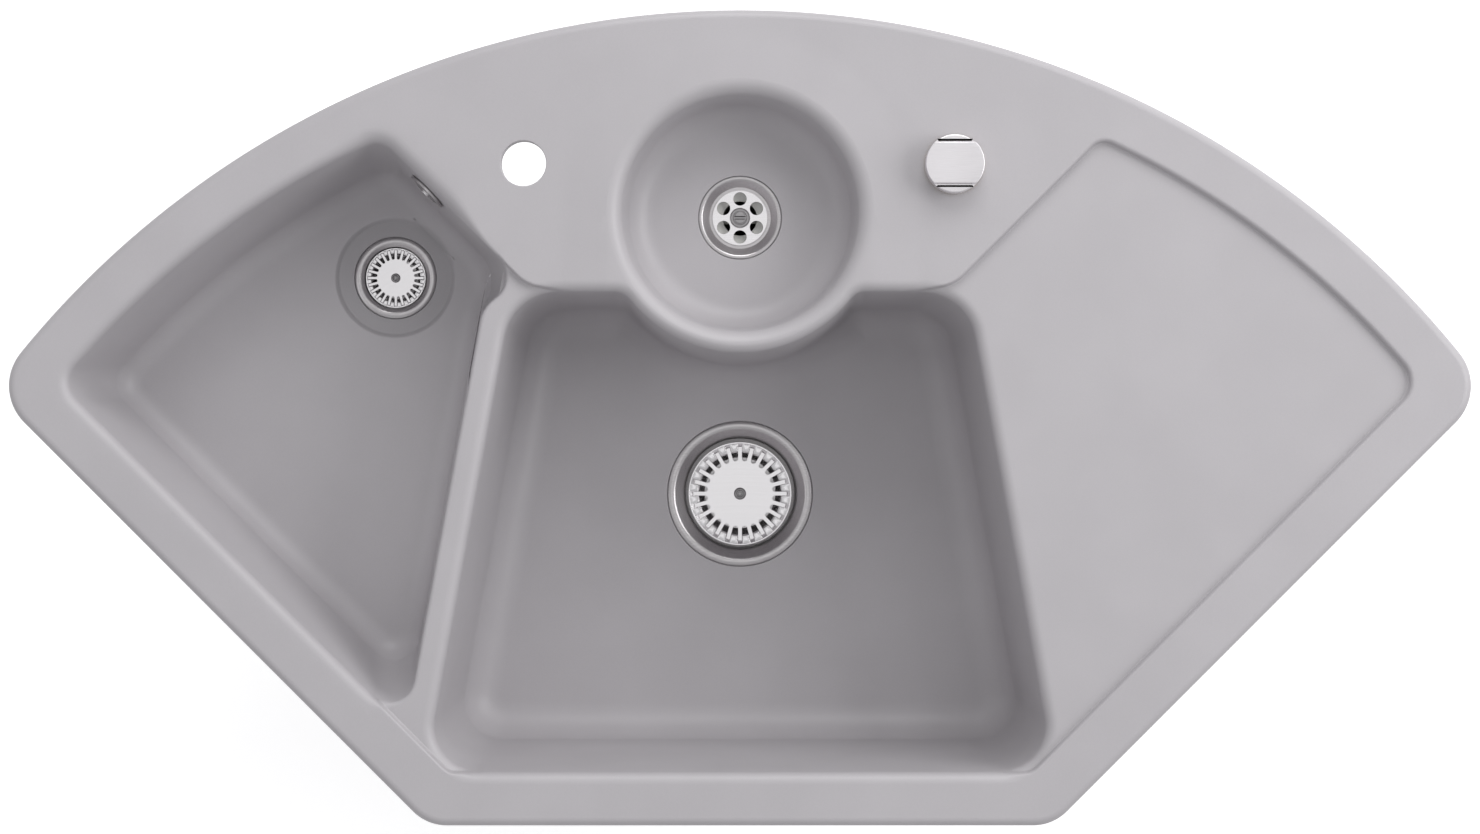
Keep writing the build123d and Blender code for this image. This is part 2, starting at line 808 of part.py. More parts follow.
with BuildPart() as sink_body:
    extrude(outline(Plane.XY, rim_corners(0, 0, front_corner_radius, side_corner_radius)), amount=rim_height)
    fillet(sink_body.faces().sort_by(Axis.Z)[-1].edges(), rim_edge_radius)
    inner_front = front_corner_radius - seat_width
    inner_rim = rim_corners(seat_width, seat_width, inner_front, side_corner_radius - seat_width)
    extrude(outline(Plane.XY, inner_rim), amount=deck_underside, mode=Mode.SUBTRACT)
    tray_side = lowered_side_radius + recess_wall
    tray = recess_corners(-recess_wall, lowered_corner_radius + recess_wall, tray_side)
    extrude(outline(Plane.XY.offset(recess_z - deck_thickness), tray), amount=recess_depth)
    add(basin_shell.part)
    add(side_shell.part)
    small_shell = [
        (0, small_underside),
        (small_floor_radius + wall_thickness, small_underside, small_bowl_fillet + wall_thickness),
        (small_bowl_radius + wall_thickness, deck_underside),
        (0, deck_underside),
    ]
    turn(0, small_bowl_y, small_shell)
    add(basin_space.part, mode=Mode.SUBTRACT)
    add(side_space.part, mode=Mode.SUBTRACT)
    add(recess_space.part, mode=Mode.SUBTRACT)
    add(basin_edge.part, mode=Mode.SUBTRACT)
    add(side_edge.part, mode=Mode.SUBTRACT)
    small_mouth = small_bowl_radius + small_lip_radius + lip_radius / 2
    small_space = [
        (0, small_floor_z),
        (small_floor_radius, small_floor_z, small_bowl_fillet),
        (small_bowl_radius, rim_height, small_lip_radius),
        (small_mouth, rim_height),
        (small_mouth, 2 * rim_height),
        (0, 2 * rim_height),
    ]
    turn(0, small_bowl_y, small_space, Mode.SUBTRACT)
    for hole_x, hole_y in ((tap_x, tap_y), (knob_x, knob_y)):
        hole = [
            (0, 0),
            (deck_hole_radius, 0),
            (deck_hole_radius, rim_height, deck_hole_rounding),
            (2 * deck_hole_radius, rim_height),
            (2 * deck_hole_radius, 2 * rim_height),
            (0, 2 * rim_height),
        ]
        turn(hole_x, hole_y, hole, Mode.SUBTRACT)
    main_waste.cut_seat(main_floor_z)
    dish_floor = side_floor_z - side_dish_depth
    dish = [
        (0, dish_floor),
        (side_dish_radius - side_dish_depth, dish_floor),
        (side_dish_radius, side_floor_z),
        (side_dish_radius, side_floor_z + side_dish_depth),
        (0, side_floor_z + side_dish_depth),
    ]
    turn(side_waste_x, side_waste_y, dish, Mode.SUBTRACT)
    side_waste.cut_seat(dish_floor)
    small_seat = small_floor_z - small_rebate
    small_flat = small_flange_radius - small_lip_width
    small_hole = small_cup_radius + hole_gap
    small_cut = [
        (0, 0),
        (small_flange_radius + gasket_margin, 0),
        (small_flange_radius + gasket_margin, small_seat),
        (small_flat, small_seat),
        (small_hole, small_seat - small_ledge_drop),
        (small_hole, small_underside - floor_thickness),
        (0, small_underside - floor_thickness),
    ]
    turn(0, small_bowl_y, small_cut, Mode.SUBTRACT)
    rod(overflow_plane, overflow_hole_radius, -wall_thickness, 2 * wall_thickness, Mode.SUBTRACT)
save(sink_body, "sink_body")

# ---------------------------------------------------------------- main waste
with BuildPart() as main_flange:
    main_waste.draw_flange()
save(main_flange, "main_flange")

with BuildPart() as main_flange_gasket:
    main_waste.draw_flange_gasket()
save(main_flange_gasket, "main_flange_gasket")

with BuildPart() as main_body_gasket:
    main_waste.draw_body_gasket(main_flange_reach)
save(main_body_gasket, "main_body_gasket")

main_house_floor = main_waste.cup_bottom - flow_height - body_wall
chamber_end = main_house_floor - chamber_length
main_tail_end = chamber_end - main_tail_length
main_tail_bore = main_tail_radius - body_wall
gland_plane = Plane((0, main_waste_y + lever_arm, lever_z), x_dir=(0, 1, 0), z_dir=(1, 0, 0))

with BuildPart() as main_waste_body:
    steps = [(chamber_radius, body_wall, chamber_end), (main_tail_bore, body_wall, main_tail_end)]
    main_waste.draw_housing(main_flange_reach, flow_height, steps)
    bar(0, main_waste_y, 2 * chamber_radius + body_wall, guide_z)
    ring(0, main_waste_y, 0, bar_width, guide_z, guide_z + bar_height)
    guide_top = guide_z + 2 * bar_height
    ring(0, main_waste_y, 0, pin_radius + running_gap, guide_z - bar_height, guide_top, Mode.SUBTRACT)
    rod(gland_plane, gland_boss_radius, boss_start, boss_reach)
    rod(gland_plane, shaft_radius + running_gap, 0, shaft_reach, Mode.SUBTRACT)
save(main_waste_body, "main_waste_body")

with BuildPart() as main_clamp_screws:
    main_waste.draw_screws()
save(main_clamp_screws, "main_clamp_screws")

with BuildPart() as main_strainer_basket:
    main_waste.draw_basket()
save(main_strainer_basket, "main_strainer_basket")

with BuildPart() as main_strainer_plate:
    main_waste.draw_plate()
save(main_strainer_plate, "main_strainer_plate")

with BuildPart() as main_basket_rivet:
    main_waste.draw_rivet(2 * rivet_shank)
save(main_basket_rivet, "main_basket_rivet")

with BuildPart() as main_basket_seal:
    main_waste.draw_seal()
save(main_basket_seal, "main_basket_seal")

# ---------------------------------------------------------------- pop-up pin and lever
half_swing = radians(lever_swing / 2)
tip_y = main_waste_y + lever_arm * (1 - cos(half_swing))
tip_z = lever_z - lever_arm * sin(half_swing)
pin_top = main_waste.cup_bottom - lift_gap
pin_bottom = tip_z + lever_tip_radius + lift_gap

with BuildPart() as lift_pin:
    pin = [(0, pin_bottom), (pin_radius, pin_bottom, pin_rounding), (pin_radius, pin_top), (0, pin_top)]
    turn(0, main_waste_y, pin)
save(lift_pin, "lift_pin")

with BuildPart() as lift_lever:
    with BuildSketch(gland_plane.offset(-lever_thickness / 2)):
        Circle(lever_hub_radius)
        with Locations((tip_y - main_waste_y - lever_arm, tip_z - lever_z)):
            Circle(lever_tip_radius)
        make_hull()
        Circle(shaft_radius + thread_gap, mode=Mode.SUBTRACT)
    extrude(amount=lever_thickness)
save(lift_lever, "lift_lever")

with BuildPart() as lever_shaft:
    rod(gland_plane, shaft_radius, -lever_thickness / 2 - crank_thickness / 2, shaft_reach)
    with BuildSketch(gland_plane.offset(crank_start)):
        Circle(crank_radius)
        with Locations((0, -crank_length)):
            Circle(crank_radius)
        make_hull()
        with Locations((0, -crank_length)):
            Circle(eye_radius, mode=Mode.SUBTRACT)
    extrude(amount=crank_thickness)
save(lever_shaft, "lever_shaft")

with BuildPart() as lever_gland_nut:
    with BuildSketch(gland_plane.offset(gland_nut_end - gland_nut_length)):
        RegularPolygon(gland_nut_radius, 6)
        Circle(gland_boss_radius + thread_gap, mode=Mode.SUBTRACT)
    extrude(amount=gland_nut_length - gland_nut_wall)
    with BuildSketch(gland_plane.offset(gland_nut_end - gland_nut_wall)):
        RegularPolygon(gland_nut_radius, 6)
        Circle(shaft_radius + lift_gap, mode=Mode.SUBTRACT)
    extrude(amount=gland_nut_wall)
save(lever_gland_nut, "lever_gland_nut")

# ---------------------------------------------------------------- side waste
side_house_floor = side_waste.cup_bottom - side_flow_height - body_wall
side_tail_end = side_house_floor - side_tail_length

with BuildPart() as side_flange:
    side_waste.draw_flange()
save(side_flange, "side_flange")

with BuildPart() as side_flange_gasket:
    side_waste.draw_flange_gasket()
save(side_flange_gasket, "side_flange_gasket")

with BuildPart() as side_body_gasket:
    side_waste.draw_body_gasket(side_flange_reach)
save(side_body_gasket, "side_body_gasket")

inlet_z = side_house_floor + body_wall + spigot_bore + inlet_rise
spigot_foot = overflow_plane.origin + overflow_plane.z_dir * spigot_inset
spigot_end = spigot_foot + overflow_plane.y_dir * spigot_reach
pipe_start = spigot_foot + overflow_plane.y_dir * (spigot_reach - overflow_sleeve)
pipe_corner = spigot_foot + overflow_plane.y_dir * ((inlet_z - spigot_foot.Z) / overflow_plane.y_dir.Z)
inlet_axis = Vector(side_waste_x, side_waste_y, inlet_z)
inlet_out = (pipe_corner - inlet_axis).normalized()
inlet_plane = Plane(inlet_axis, x_dir=(0, 0, 1), z_dir=inlet_out)
pipe_end = inlet_axis + inlet_out * (inlet_reach - overflow_sleeve)

with BuildPart() as side_waste_body:
    steps = [(pipe_bore, pipe_radius - pipe_bore, side_tail_end)]
    side_waste.draw_housing(side_flange_reach, side_flow_height, steps)
    rod(inlet_plane, spigot_radius, side_waste.cup + body_gap + body_wall / 2, inlet_reach)
    rod(inlet_plane, spigot_bore, side_waste.cup - body_wall, inlet_reach, Mode.SUBTRACT)
save(side_waste_body, "side_waste_body")

with BuildPart() as side_clamp_screws:
    side_waste.draw_screws()
save(side_clamp_screws, "side_clamp_screws")

with BuildPart() as side_strainer_basket:
    side_waste.draw_basket()
save(side_strainer_basket, "side_strainer_basket")

with BuildPart() as side_strainer_plate:
    side_waste.draw_plate()
save(side_strainer_plate, "side_strainer_plate")

with BuildPart() as side_basket_rivet:
    side_waste.draw_rivet(side_waste.rivet)
save(side_basket_rivet, "side_basket_rivet")

with BuildPart() as side_basket_seal:
    side_waste.draw_seal()
save(side_basket_seal, "side_basket_seal")

# ---------------------------------------------------------------- small bowl waste
small_lip_top = small_seat + gasket_thickness + sheet
small_ledge = small_lip_top - small_ledge_drop
small_house_top = small_underside - body_gasket_thickness
small_house_floor = small_house_top - small_body_drop
small_tail_end = small_house_floor - small_tail_length

with BuildPart() as small_flange:
    profile = [
        (small_throat_radius, small_lip_top - small_cup_depth),
        (small_throat_radius + sheet, small_lip_top - small_cup_depth),
        (small_throat_radius + sheet, small_ledge - sheet),
        (small_cup_radius, small_ledge - sheet),
        (small_cup_radius, small_ledge + sheet),
        (small_flat - sheet / 4, small_lip_top - sheet),
        (small_flange_radius, small_lip_top - sheet),
        (small_flange_radius, small_lip_top, sheet / 2),
        (small_flat, small_lip_top),
        (small_cup_radius - sheet, small_ledge + 2 * sheet),
        (small_cup_radius - sheet, small_ledge),
        (small_throat_radius, small_ledge),
    ]
    turn(0, small_bowl_y, profile)
save(small_flange, "small_flange")

with BuildPart() as small_flange_gasket:
    inner = small_flat + gasket_margin
    outer = small_flange_radius - gasket_margin
    ring(0, small_bowl_y, inner, outer, small_seat, small_seat + gasket_thickness)
save(small_flange_gasket, "small_flange_gasket")

with BuildPart() as small_body_gasket:
    inner = small_hole + gasket_thickness
    ring(0, small_bowl_y, inner, small_flange_reach - gasket_thickness, small_house_top, small_underside)
save(small_body_gasket, "small_body_gasket")

with BuildPart() as small_strainer_plate:
    with BuildSketch(Plane((0, small_bowl_y, small_ledge))):
        Circle(small_plate_radius)
        Circle(small_shank_radius + thread_gap, mode=Mode.SUBTRACT)
        with PolarLocations(small_hole_circle, small_hole_count, start_angle=90):
            Circle(small_hole_radius, mode=Mode.SUBTRACT)
    extrude(amount=small_plate_thickness)
save(small_strainer_plate, "small_strainer_plate")

with BuildPart() as small_waste_screw:
    small_seat_z = small_ledge + small_plate_thickness
    small_collar_z = small_seat_z + small_collar_height
    profile = [
        (0, small_seat_z - small_shank_length),
        (small_shank_radius, small_seat_z - small_shank_length),
        (small_shank_radius, small_seat_z),
        (small_screw_radius, small_seat_z),
        (small_screw_radius, small_collar_z, small_collar_height / 2),
        (small_head_radius, small_collar_z),
        (small_head_radius, small_seat_z + small_screw_height, (small_screw_height - small_collar_height) / 2),
        (0, small_seat_z + small_screw_height),
    ]
    turn(0, small_bowl_y, profile)
    with BuildSketch(Plane((0, small_bowl_y, small_seat_z + small_screw_height - small_slot_depth))):
        Rectangle(2 * small_head_radius, small_slot_width)
    extrude(amount=small_screw_height, mode=Mode.SUBTRACT)
save(small_waste_screw, "small_waste_screw")

with BuildPart() as small_waste_body:
    ring(0, small_bowl_y, small_hole, small_flange_reach, small_house_top - body_wall, small_house_top)
    ring(0, small_bowl_y, small_hole, small_hole + body_wall, small_house_floor - body_wall, small_house_top)
    ring(0, small_bowl_y, pipe_bore, small_hole + body_wall, small_house_floor - body_wall, small_house_floor)
    ring(0, small_bowl_y, pipe_bore, pipe_radius, small_tail_end, small_house_floor)
    bar(0, small_bowl_y, 2 * small_hole + body_wall, small_house_floor - body_wall / 2)
    hub_low = small_house_floor - body_wall / 2
    ring(0, small_bowl_y, 0, bar_width, hub_low, hub_low + bar_height)
    hole_radius = small_shank_radius + thread_gap
    ring(0, small_bowl_y, 0, hole_radius, hub_low - bar_height, hub_low + 2 * bar_height, Mode.SUBTRACT)
save(small_waste_body, "small_waste_body")

# ---------------------------------------------------------------- overflow
with BuildPart() as overflow_rosette:
    rod(overflow_plane, rosette_radius, -rosette_thickness, 0)
    rod(overflow_plane, rosette_skirt_radius, 0, rosette_skirt_depth)
    rod(overflow_plane, rosette_skirt_radius - rosette_thickness, 0, rosette_skirt_depth, Mode.SUBTRACT)
    with BuildSketch(overflow_plane.offset(-rosette_thickness)):
        with PolarLocations(rosette_hole_circle, rosette_hole_count):
            Circle(rosette_hole_radius)
        Circle(overflow_screw_radius + thread_gap)
    extrude(amount=rosette_thickness, mode=Mode.SUBTRACT)
save(overflow_rosette, "overflow_rosette")

case_start = overflow_wall + overflow_gasket
case_end = case_start + overflow_case_depth
with BuildPart() as overflow_screw:
    rod(overflow_plane, overflow_screw_head, -2 * rosette_thickness, -rosette_thickness)
    rod(overflow_plane, overflow_screw_radius, -rosette_thickness, case_end - 2 * overflow_case_wall)
save(overflow_screw, "overflow_screw")

with BuildPart() as overflow_seal:
    rod(overflow_plane, overflow_case_radius, overflow_wall, case_start)
    rod(overflow_plane, overflow_hole_radius, 0, case_end, Mode.SUBTRACT)
save(overflow_seal, "overflow_seal")

spigot_plane = Plane(spigot_foot, x_dir=overflow_plane.x_dir, z_dir=overflow_plane.y_dir)
with BuildPart() as overflow_housing:
    rod(overflow_plane, overflow_case_radius, case_start, case_end)
    rod(spigot_plane, spigot_radius, 0, spigot_reach)
    case_bore = overflow_case_radius - overflow_case_wall
    rod(overflow_plane, case_bore, case_start, case_end - overflow_case_wall, Mode.SUBTRACT)
    rod(overflow_plane, boss_radius, case_end - overflow_boss_length, case_end)
    rod(spigot_plane, spigot_bore, overflow_case_radius / 2, spigot_reach, Mode.SUBTRACT)
    thread_end = case_end - 2 * overflow_case_wall
    rod(overflow_plane, overflow_screw_radius + thread_gap, 0, thread_end, Mode.SUBTRACT)
save(overflow_housing, "overflow_housing")

with BuildPart() as overflow_pipe:
    sleeve_bore = spigot_radius + overflow_sleeve_gap
    sleeve_outer = sleeve_bore + overflow_pipe_wall
    tube([pipe_start, pipe_corner, pipe_end], overflow_pipe_bend, sleeve_bore, sleeve_outer)
save(overflow_pipe, "overflow_pipe")

# ---------------------------------------------------------------- knob and cable case
bushing_top = rim_height + bushing_flange_height
knob_bottom = bushing_top + knob_gap
knob_top = knob_bottom + knob_height
case_top = bushing_bottom
case_bottom = case_top - case_height
rotor_low = case_bottom + case_height / 3
spindle_fit = spindle_radius + running_gap

with BuildPart() as knob:
    with BuildSketch(Plane((knob_x, knob_y, knob_bottom))):
        Circle(knob_radius)
    extrude(amount=knob_height - knob_shelf_depth)
    fillet(knob.faces().sort_by(Axis.Z)[-1].edges(), knob_edge_radius)
    with BuildSketch(Plane((knob_x, knob_y, knob_bottom))):
        Circle(knob_radius)
        Rectangle(2 * knob_radius, knob_bar_width, mode=Mode.INTERSECT)
    extrude(amount=knob_height)
    fillet(knob.faces().sort_by(Axis.Z)[-1].edges(), knob_edge_radius)
    socket_top = knob_bottom + knob_socket_depth
    ring(knob_x, knob_y, 0, spindle_radius + thread_gap, knob_bottom, socket_top, Mode.SUBTRACT)
save(knob, "knob")

with BuildPart() as knob_spindle:
    ring(knob_x, knob_y, 0, spindle_radius, rotor_low - rotor_height / 4, knob_bottom + knob_socket_depth)
save(knob_spindle, "knob_spindle")

with BuildPart() as knob_bushing:
    ring(knob_x, knob_y, spindle_fit, bushing_flange_radius, rim_height, bushing_top)
    ring(knob_x, knob_y, spindle_fit, bushing_radius, bushing_bottom, rim_height)
    bore_low = bushing_bottom + bearing_length
    ring(knob_x, knob_y, 0, bushing_bore, bore_low, rim_height - bearing_length, Mode.SUBTRACT)
save(knob_bushing, "knob_bushing")

with BuildPart() as bushing_washer:
    low = deck_underside - washer_thickness
    ring(knob_x, knob_y, bushing_radius + thread_gap, washer_radius, low, deck_underside)
save(bushing_washer, "bushing_washer")

with BuildPart() as bushing_nut:
    with BuildSketch(Plane((knob_x, knob_y, deck_underside - washer_thickness - nut_height))):
        RegularPolygon(nut_radius, 6)
        Circle(bushing_radius + thread_gap, mode=Mode.SUBTRACT)
    extrude(amount=nut_height)
save(bushing_nut, "bushing_nut")

with BuildPart() as cable_case:
    ring(knob_x, knob_y, 0, case_radius, case_bottom, case_top)
    cable_plane = Plane((knob_x, knob_y, rotor_low + rotor_height / 2), x_dir=(0, 0, 1), z_dir=(0, -1, 0))
    rod(cable_plane, case_gland_radius, case_radius / 2, case_gland_reach)
    room = case_radius - case_wall
    ring(knob_x, knob_y, 0, room, case_bottom + case_wall, case_top - case_wall, Mode.SUBTRACT)
    rod(cable_plane, cable_radius, 0, case_gland_reach, Mode.SUBTRACT)
    ring(knob_x, knob_y, 0, spindle_fit, case_top - case_wall, case_top, Mode.SUBTRACT)
save(cable_case, "cable_case")

with BuildPart() as cable_rotor:
    ring(knob_x, knob_y, spindle_radius + thread_gap, rotor_radius, rotor_low, rotor_low + rotor_height)
save(cable_rotor, "cable_rotor")

# ---------------------------------------------------------------- waste pipes
socket_bore = pipe_radius + socket_gap
socket_outer = socket_bore + socket_wall
cross_radius = cross_bore + cross_wall
port_reach = branch_stop + socket_depth
port_planes = [
    Plane((0, main_waste_y, branch_z), x_dir=(0, 0, 1), z_dir=(-1, 0, 0)),
    Plane((0, main_waste_y, branch_z), x_dir=(0, 0, 1), z_dir=(0, 1, 0)),
]
with BuildPart() as waste_cross:
    cross_socket = main_tail_radius + socket_gap
    cross_stop = main_tail_end - socket_gap
    cross_top = main_tail_end + main_tail_length - cross_wall
    ring(0, main_waste_y, 0, cross_socket + socket_wall, cross_stop - cross_wall, cross_top)
    ring(0, main_waste_y, 0, cross_radius, cross_bottom, cross_stop)
    ring(0, main_waste_y, 0, pipe_radius, cross_bottom - outlet_length, cross_bottom)
    for plane in port_planes:
        rod(plane, socket_outer, 0, port_reach)
    ring(0, main_waste_y, 0, cross_bore, cross_bottom + cross_wall, cross_stop, Mode.SUBTRACT)
    ring(0, main_waste_y, 0, cross_socket, cross_stop, main_tail_end + main_tail_length, Mode.SUBTRACT)
    outlet_end = cross_bottom - outlet_length
    ring(0, main_waste_y, 0, pipe_bore, outlet_end, cross_bottom + cross_wall, Mode.SUBTRACT)
    for plane in port_planes:
        rod(plane, pipe_bore, 0, branch_stop, Mode.SUBTRACT)
        rod(plane, socket_bore, branch_stop, port_reach, Mode.SUBTRACT)
    foot_edges = waste_cross.edges().filter_by_position(Axis.Z, cross_bottom, cross_bottom)
    fillet(foot_edges.sort_by(SortBy.RADIUS)[0], outlet_root)
save(waste_cross, "waste_cross")

with BuildPart() as left_branch_pipe:
    left_top = side_tail_end + socket_depth
    left_points = [
        (side_waste_x, side_waste_y, side_tail_end - socket_gap),
        (side_waste_x, side_waste_y, branch_z),
        (side_waste_x, main_waste_y, branch_z),
        (-branch_stop - socket_gap, main_waste_y, branch_z),
    ]
    tube(left_points, pipe_bend, pipe_bore, pipe_radius)
    stop_z = side_tail_end - socket_gap
    ring(side_waste_x, side_waste_y, socket_bore, socket_outer, stop_z - socket_wall, left_top)
    ring(side_waste_x, side_waste_y, pipe_bore, socket_outer, stop_z - socket_wall, stop_z)
save(left_branch_pipe, "left_branch_pipe")

with BuildPart() as rear_branch_pipe:
    rear_top = small_tail_end + socket_depth
    rear_points = [
        (0, small_bowl_y, small_tail_end - socket_gap),
        (0, small_bowl_y, branch_z),
        (0, main_waste_y + branch_stop + socket_gap, branch_z),
    ]
    tube(rear_points, pipe_bend, pipe_bore, pipe_radius)
    stop_z = small_tail_end - socket_gap
    ring(0, small_bowl_y, socket_bore, socket_outer, stop_z - socket_wall, rear_top)
    ring(0, small_bowl_y, pipe_bore, socket_outer, stop_z - socket_wall, stop_z)
save(rear_branch_pipe, "rear_branch_pipe")

nut_planes = [
    Plane((side_waste_x, side_waste_y, left_top)),
    Plane((0, small_bowl_y, rear_top)),
    port_planes[0].offset(port_reach),
    port_planes[1].offset(port_reach),
]
with BuildPart() as pipe_slip_nuts:
    for plane in nut_planes:
        with BuildSketch(plane.offset(slip_nut_end - nut_length)) as wall:
            RegularPolygon(socket_outer + slip_nut_wall, nut_sides)
            Circle(socket_outer + socket_gap, mode=Mode.SUBTRACT)
        extrude(wall.sketch, amount=nut_length - slip_nut_end)
        with BuildSketch(plane) as end:
            RegularPolygon(socket_outer + slip_nut_wall, nut_sides)
            Circle(socket_bore + socket_gap, mode=Mode.SUBTRACT)
        extrude(end.sketch, amount=slip_nut_end)
save(pipe_slip_nuts, "pipe_slip_nuts")
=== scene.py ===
"""Looks of a corner kitchen sink of glazed fine fireclay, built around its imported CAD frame."""

import json
import logging
import math
from dataclasses import dataclass, field
from enum import Enum
from typing import Sequence, Union

import bmesh
import bpy
import numpy as np
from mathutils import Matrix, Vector
from mathutils.bvhtree import BVHTree
from mathutils.geometry import delaunay_2d_cdt

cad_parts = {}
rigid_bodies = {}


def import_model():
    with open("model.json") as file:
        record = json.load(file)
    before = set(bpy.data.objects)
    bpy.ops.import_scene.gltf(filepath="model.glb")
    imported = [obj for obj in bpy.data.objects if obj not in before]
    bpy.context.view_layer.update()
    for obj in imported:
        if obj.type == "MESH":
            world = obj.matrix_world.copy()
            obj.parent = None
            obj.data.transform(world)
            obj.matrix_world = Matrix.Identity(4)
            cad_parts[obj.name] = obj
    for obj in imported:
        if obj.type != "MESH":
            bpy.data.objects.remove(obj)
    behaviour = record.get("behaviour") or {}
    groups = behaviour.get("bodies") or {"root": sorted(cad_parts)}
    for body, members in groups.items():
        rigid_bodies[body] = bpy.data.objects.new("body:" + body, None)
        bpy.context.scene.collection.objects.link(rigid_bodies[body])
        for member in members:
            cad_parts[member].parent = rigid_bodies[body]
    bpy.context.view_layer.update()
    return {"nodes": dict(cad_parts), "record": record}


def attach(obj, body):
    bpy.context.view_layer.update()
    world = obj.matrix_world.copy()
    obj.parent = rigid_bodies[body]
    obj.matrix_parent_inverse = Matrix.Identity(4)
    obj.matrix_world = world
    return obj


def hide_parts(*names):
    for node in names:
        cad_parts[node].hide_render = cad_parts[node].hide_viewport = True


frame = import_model()

logging.basicConfig(level=logging.INFO, format="%(message)s")
LOG = logging.getLogger("sink")

MM = 0.001
SLIVER_MM2 = 0.004
SENSOR_MM = 36.0
BLOCK = 4096
MAIN_WASTE = (0.0, 229.0)
SIDE_WASTE = (-263.8, 396.1)
SMALL_WASTE = (0.0, 438.4)
SMALL_FACETS = 72
HOLE_FACETS = 96
FLANGE_FACETS = 144
BOWL_FACETS = 180
REPLACED = (
    "sink_body",
    "main_flange",
    "side_flange",
    "small_flange",
    "main_basket_rivet",
    "side_basket_rivet",
    "small_waste_screw",
    "knob",
)

Point = tuple[float, float]
Vertex = tuple[float, float, float]
Profile = Sequence[tuple[float, ...]]
Socket = bpy.types.NodeSocket


# ---------------------------------------------------------------- colours and nodes
def linear(code: str) -> tuple[float, float, float, float]:
    """Turn an sRGB hex colour into linear light.

    Args:
        code: Six hex digits, such as "B8B5B8".

    Returns:
        Red, green, blue and an alpha of 1.
    """
    parts = [int(code[i : i + 2], 16) / 255 for i in (0, 2, 4)]
    red, green, blue = [p / 12.92 if p <= 0.04045 else ((p + 0.055) / 1.055) ** 2.4 for p in parts]
    return red, green, blue, 1.0


class Graph:
    """Node tree of one material, with the one function that adds to it."""

    def __init__(self, name: str) -> None:
        """Start an empty material with its output.

        Args:
            name: Name of the material.
        """
        self.material = bpy.data.materials.new(name)
        self.material.use_nodes = True
        self.tree = self.material.node_tree
        self.tree.nodes.clear()
        self.output = self.tree.nodes.new("ShaderNodeOutputMaterial")

    def add(
        self,
        kind: str,
        settings: dict[str, object] | None = None,
        values: dict[str, object] | None = None,
        links: dict[str, Socket] | None = None,
    ) -> bpy.types.Node:
        """Add a node.

        Args:
            kind: Blender's node type without its "ShaderNode" prefix.
            settings: Properties of the node.
            values: Constants for its input sockets.
            links: Output sockets to join to its input sockets.

        Returns:
            The new node.
        """
        node = self.tree.nodes.new("ShaderNode" + kind)
        for key, value in (settings or {}).items():
            setattr(node, key, value)
        for key, value in (values or {}).items():
            node.inputs[key].default_value = value
        for key, socket in (links or {}).items():
            self.tree.links.new(socket, node.inputs[key])
        return node

    def radius(self, place: Socket, centre: Point) -> Socket:
        """Distance from an upright axis.

        Args:
            place: Socket with the place in metres.
            centre: The axis in millimetres.

        Returns:
            The socket of the distance in metres.
        """
        axis = (centre[0] * MM, centre[1] * MM, 0.0)
        moved = self.add("VectorMath", {"operation": "SUBTRACT"}, {1: axis}, {0: place})
        flat = self.add("VectorMath", {"operation": "MULTIPLY"}, {1: (1.0, 1.0, 0.0)}, {0: moved.outputs[0]})
        return self.add("VectorMath", {"operation": "LENGTH"}, links={0: flat.outputs[0]}).outputs["Value"]

    def noise(self, place: Socket, size_mm: float, detail: float = 2.0) -> Socket:
        """Soft noise.

        Args:
            place: Socket with the place in metres.
            size_mm: Size of its patches.
            detail: Number of finer layers.

        Returns:
            The socket of the noise, from 0 to 1.
        """
        values = {"Scale": 1 / (size_mm * MM), "Detail": detail}
        return self.add("TexNoise", values=values, links={"Vector": place}).outputs["Fac"]

    def bump(self, height: Socket, strength: float, depth_mm: float) -> Socket:
        """Normal of a finely uneven face.

        Args:
            height: Socket with the height from 0 to 1.
            strength: Strength of the bump.
            depth_mm: Depth that a height of 1 stands for.

        Returns:
            The normal's socket.
        """
        values = {"Strength": strength, "Distance": depth_mm * MM}
        return self.add("Bump", values=values, links={"Height": height}).outputs["Normal"]

    def ramp(self, factor: Socket, stops: Sequence[tuple[float, str]]) -> Socket:
        """Map a factor through hex colours.

        Args:
            factor: Socket with values from 0 to 1.
            stops: Positions and sRGB hex colours.

        Returns:
            The colour socket.
        """
        node = self.add("ValToRGB", links={"Fac": factor})
        elements = node.color_ramp.elements
        while len(elements) < len(stops):
            elements.new(0.5)
        for element, (position, code) in zip(elements, stops):
            element.position = position
            element.color = linear(code)
        return node.outputs["Color"]

    def finish(self, shader: bpy.types.Node) -> bpy.types.Material:
        """Join the shader to the output.

        Args:
            shader: The surface shader.

        Returns:
            The finished material.
        """
        self.tree.links.new(shader.outputs[0], self.output.inputs["Surface"])
        return self.material


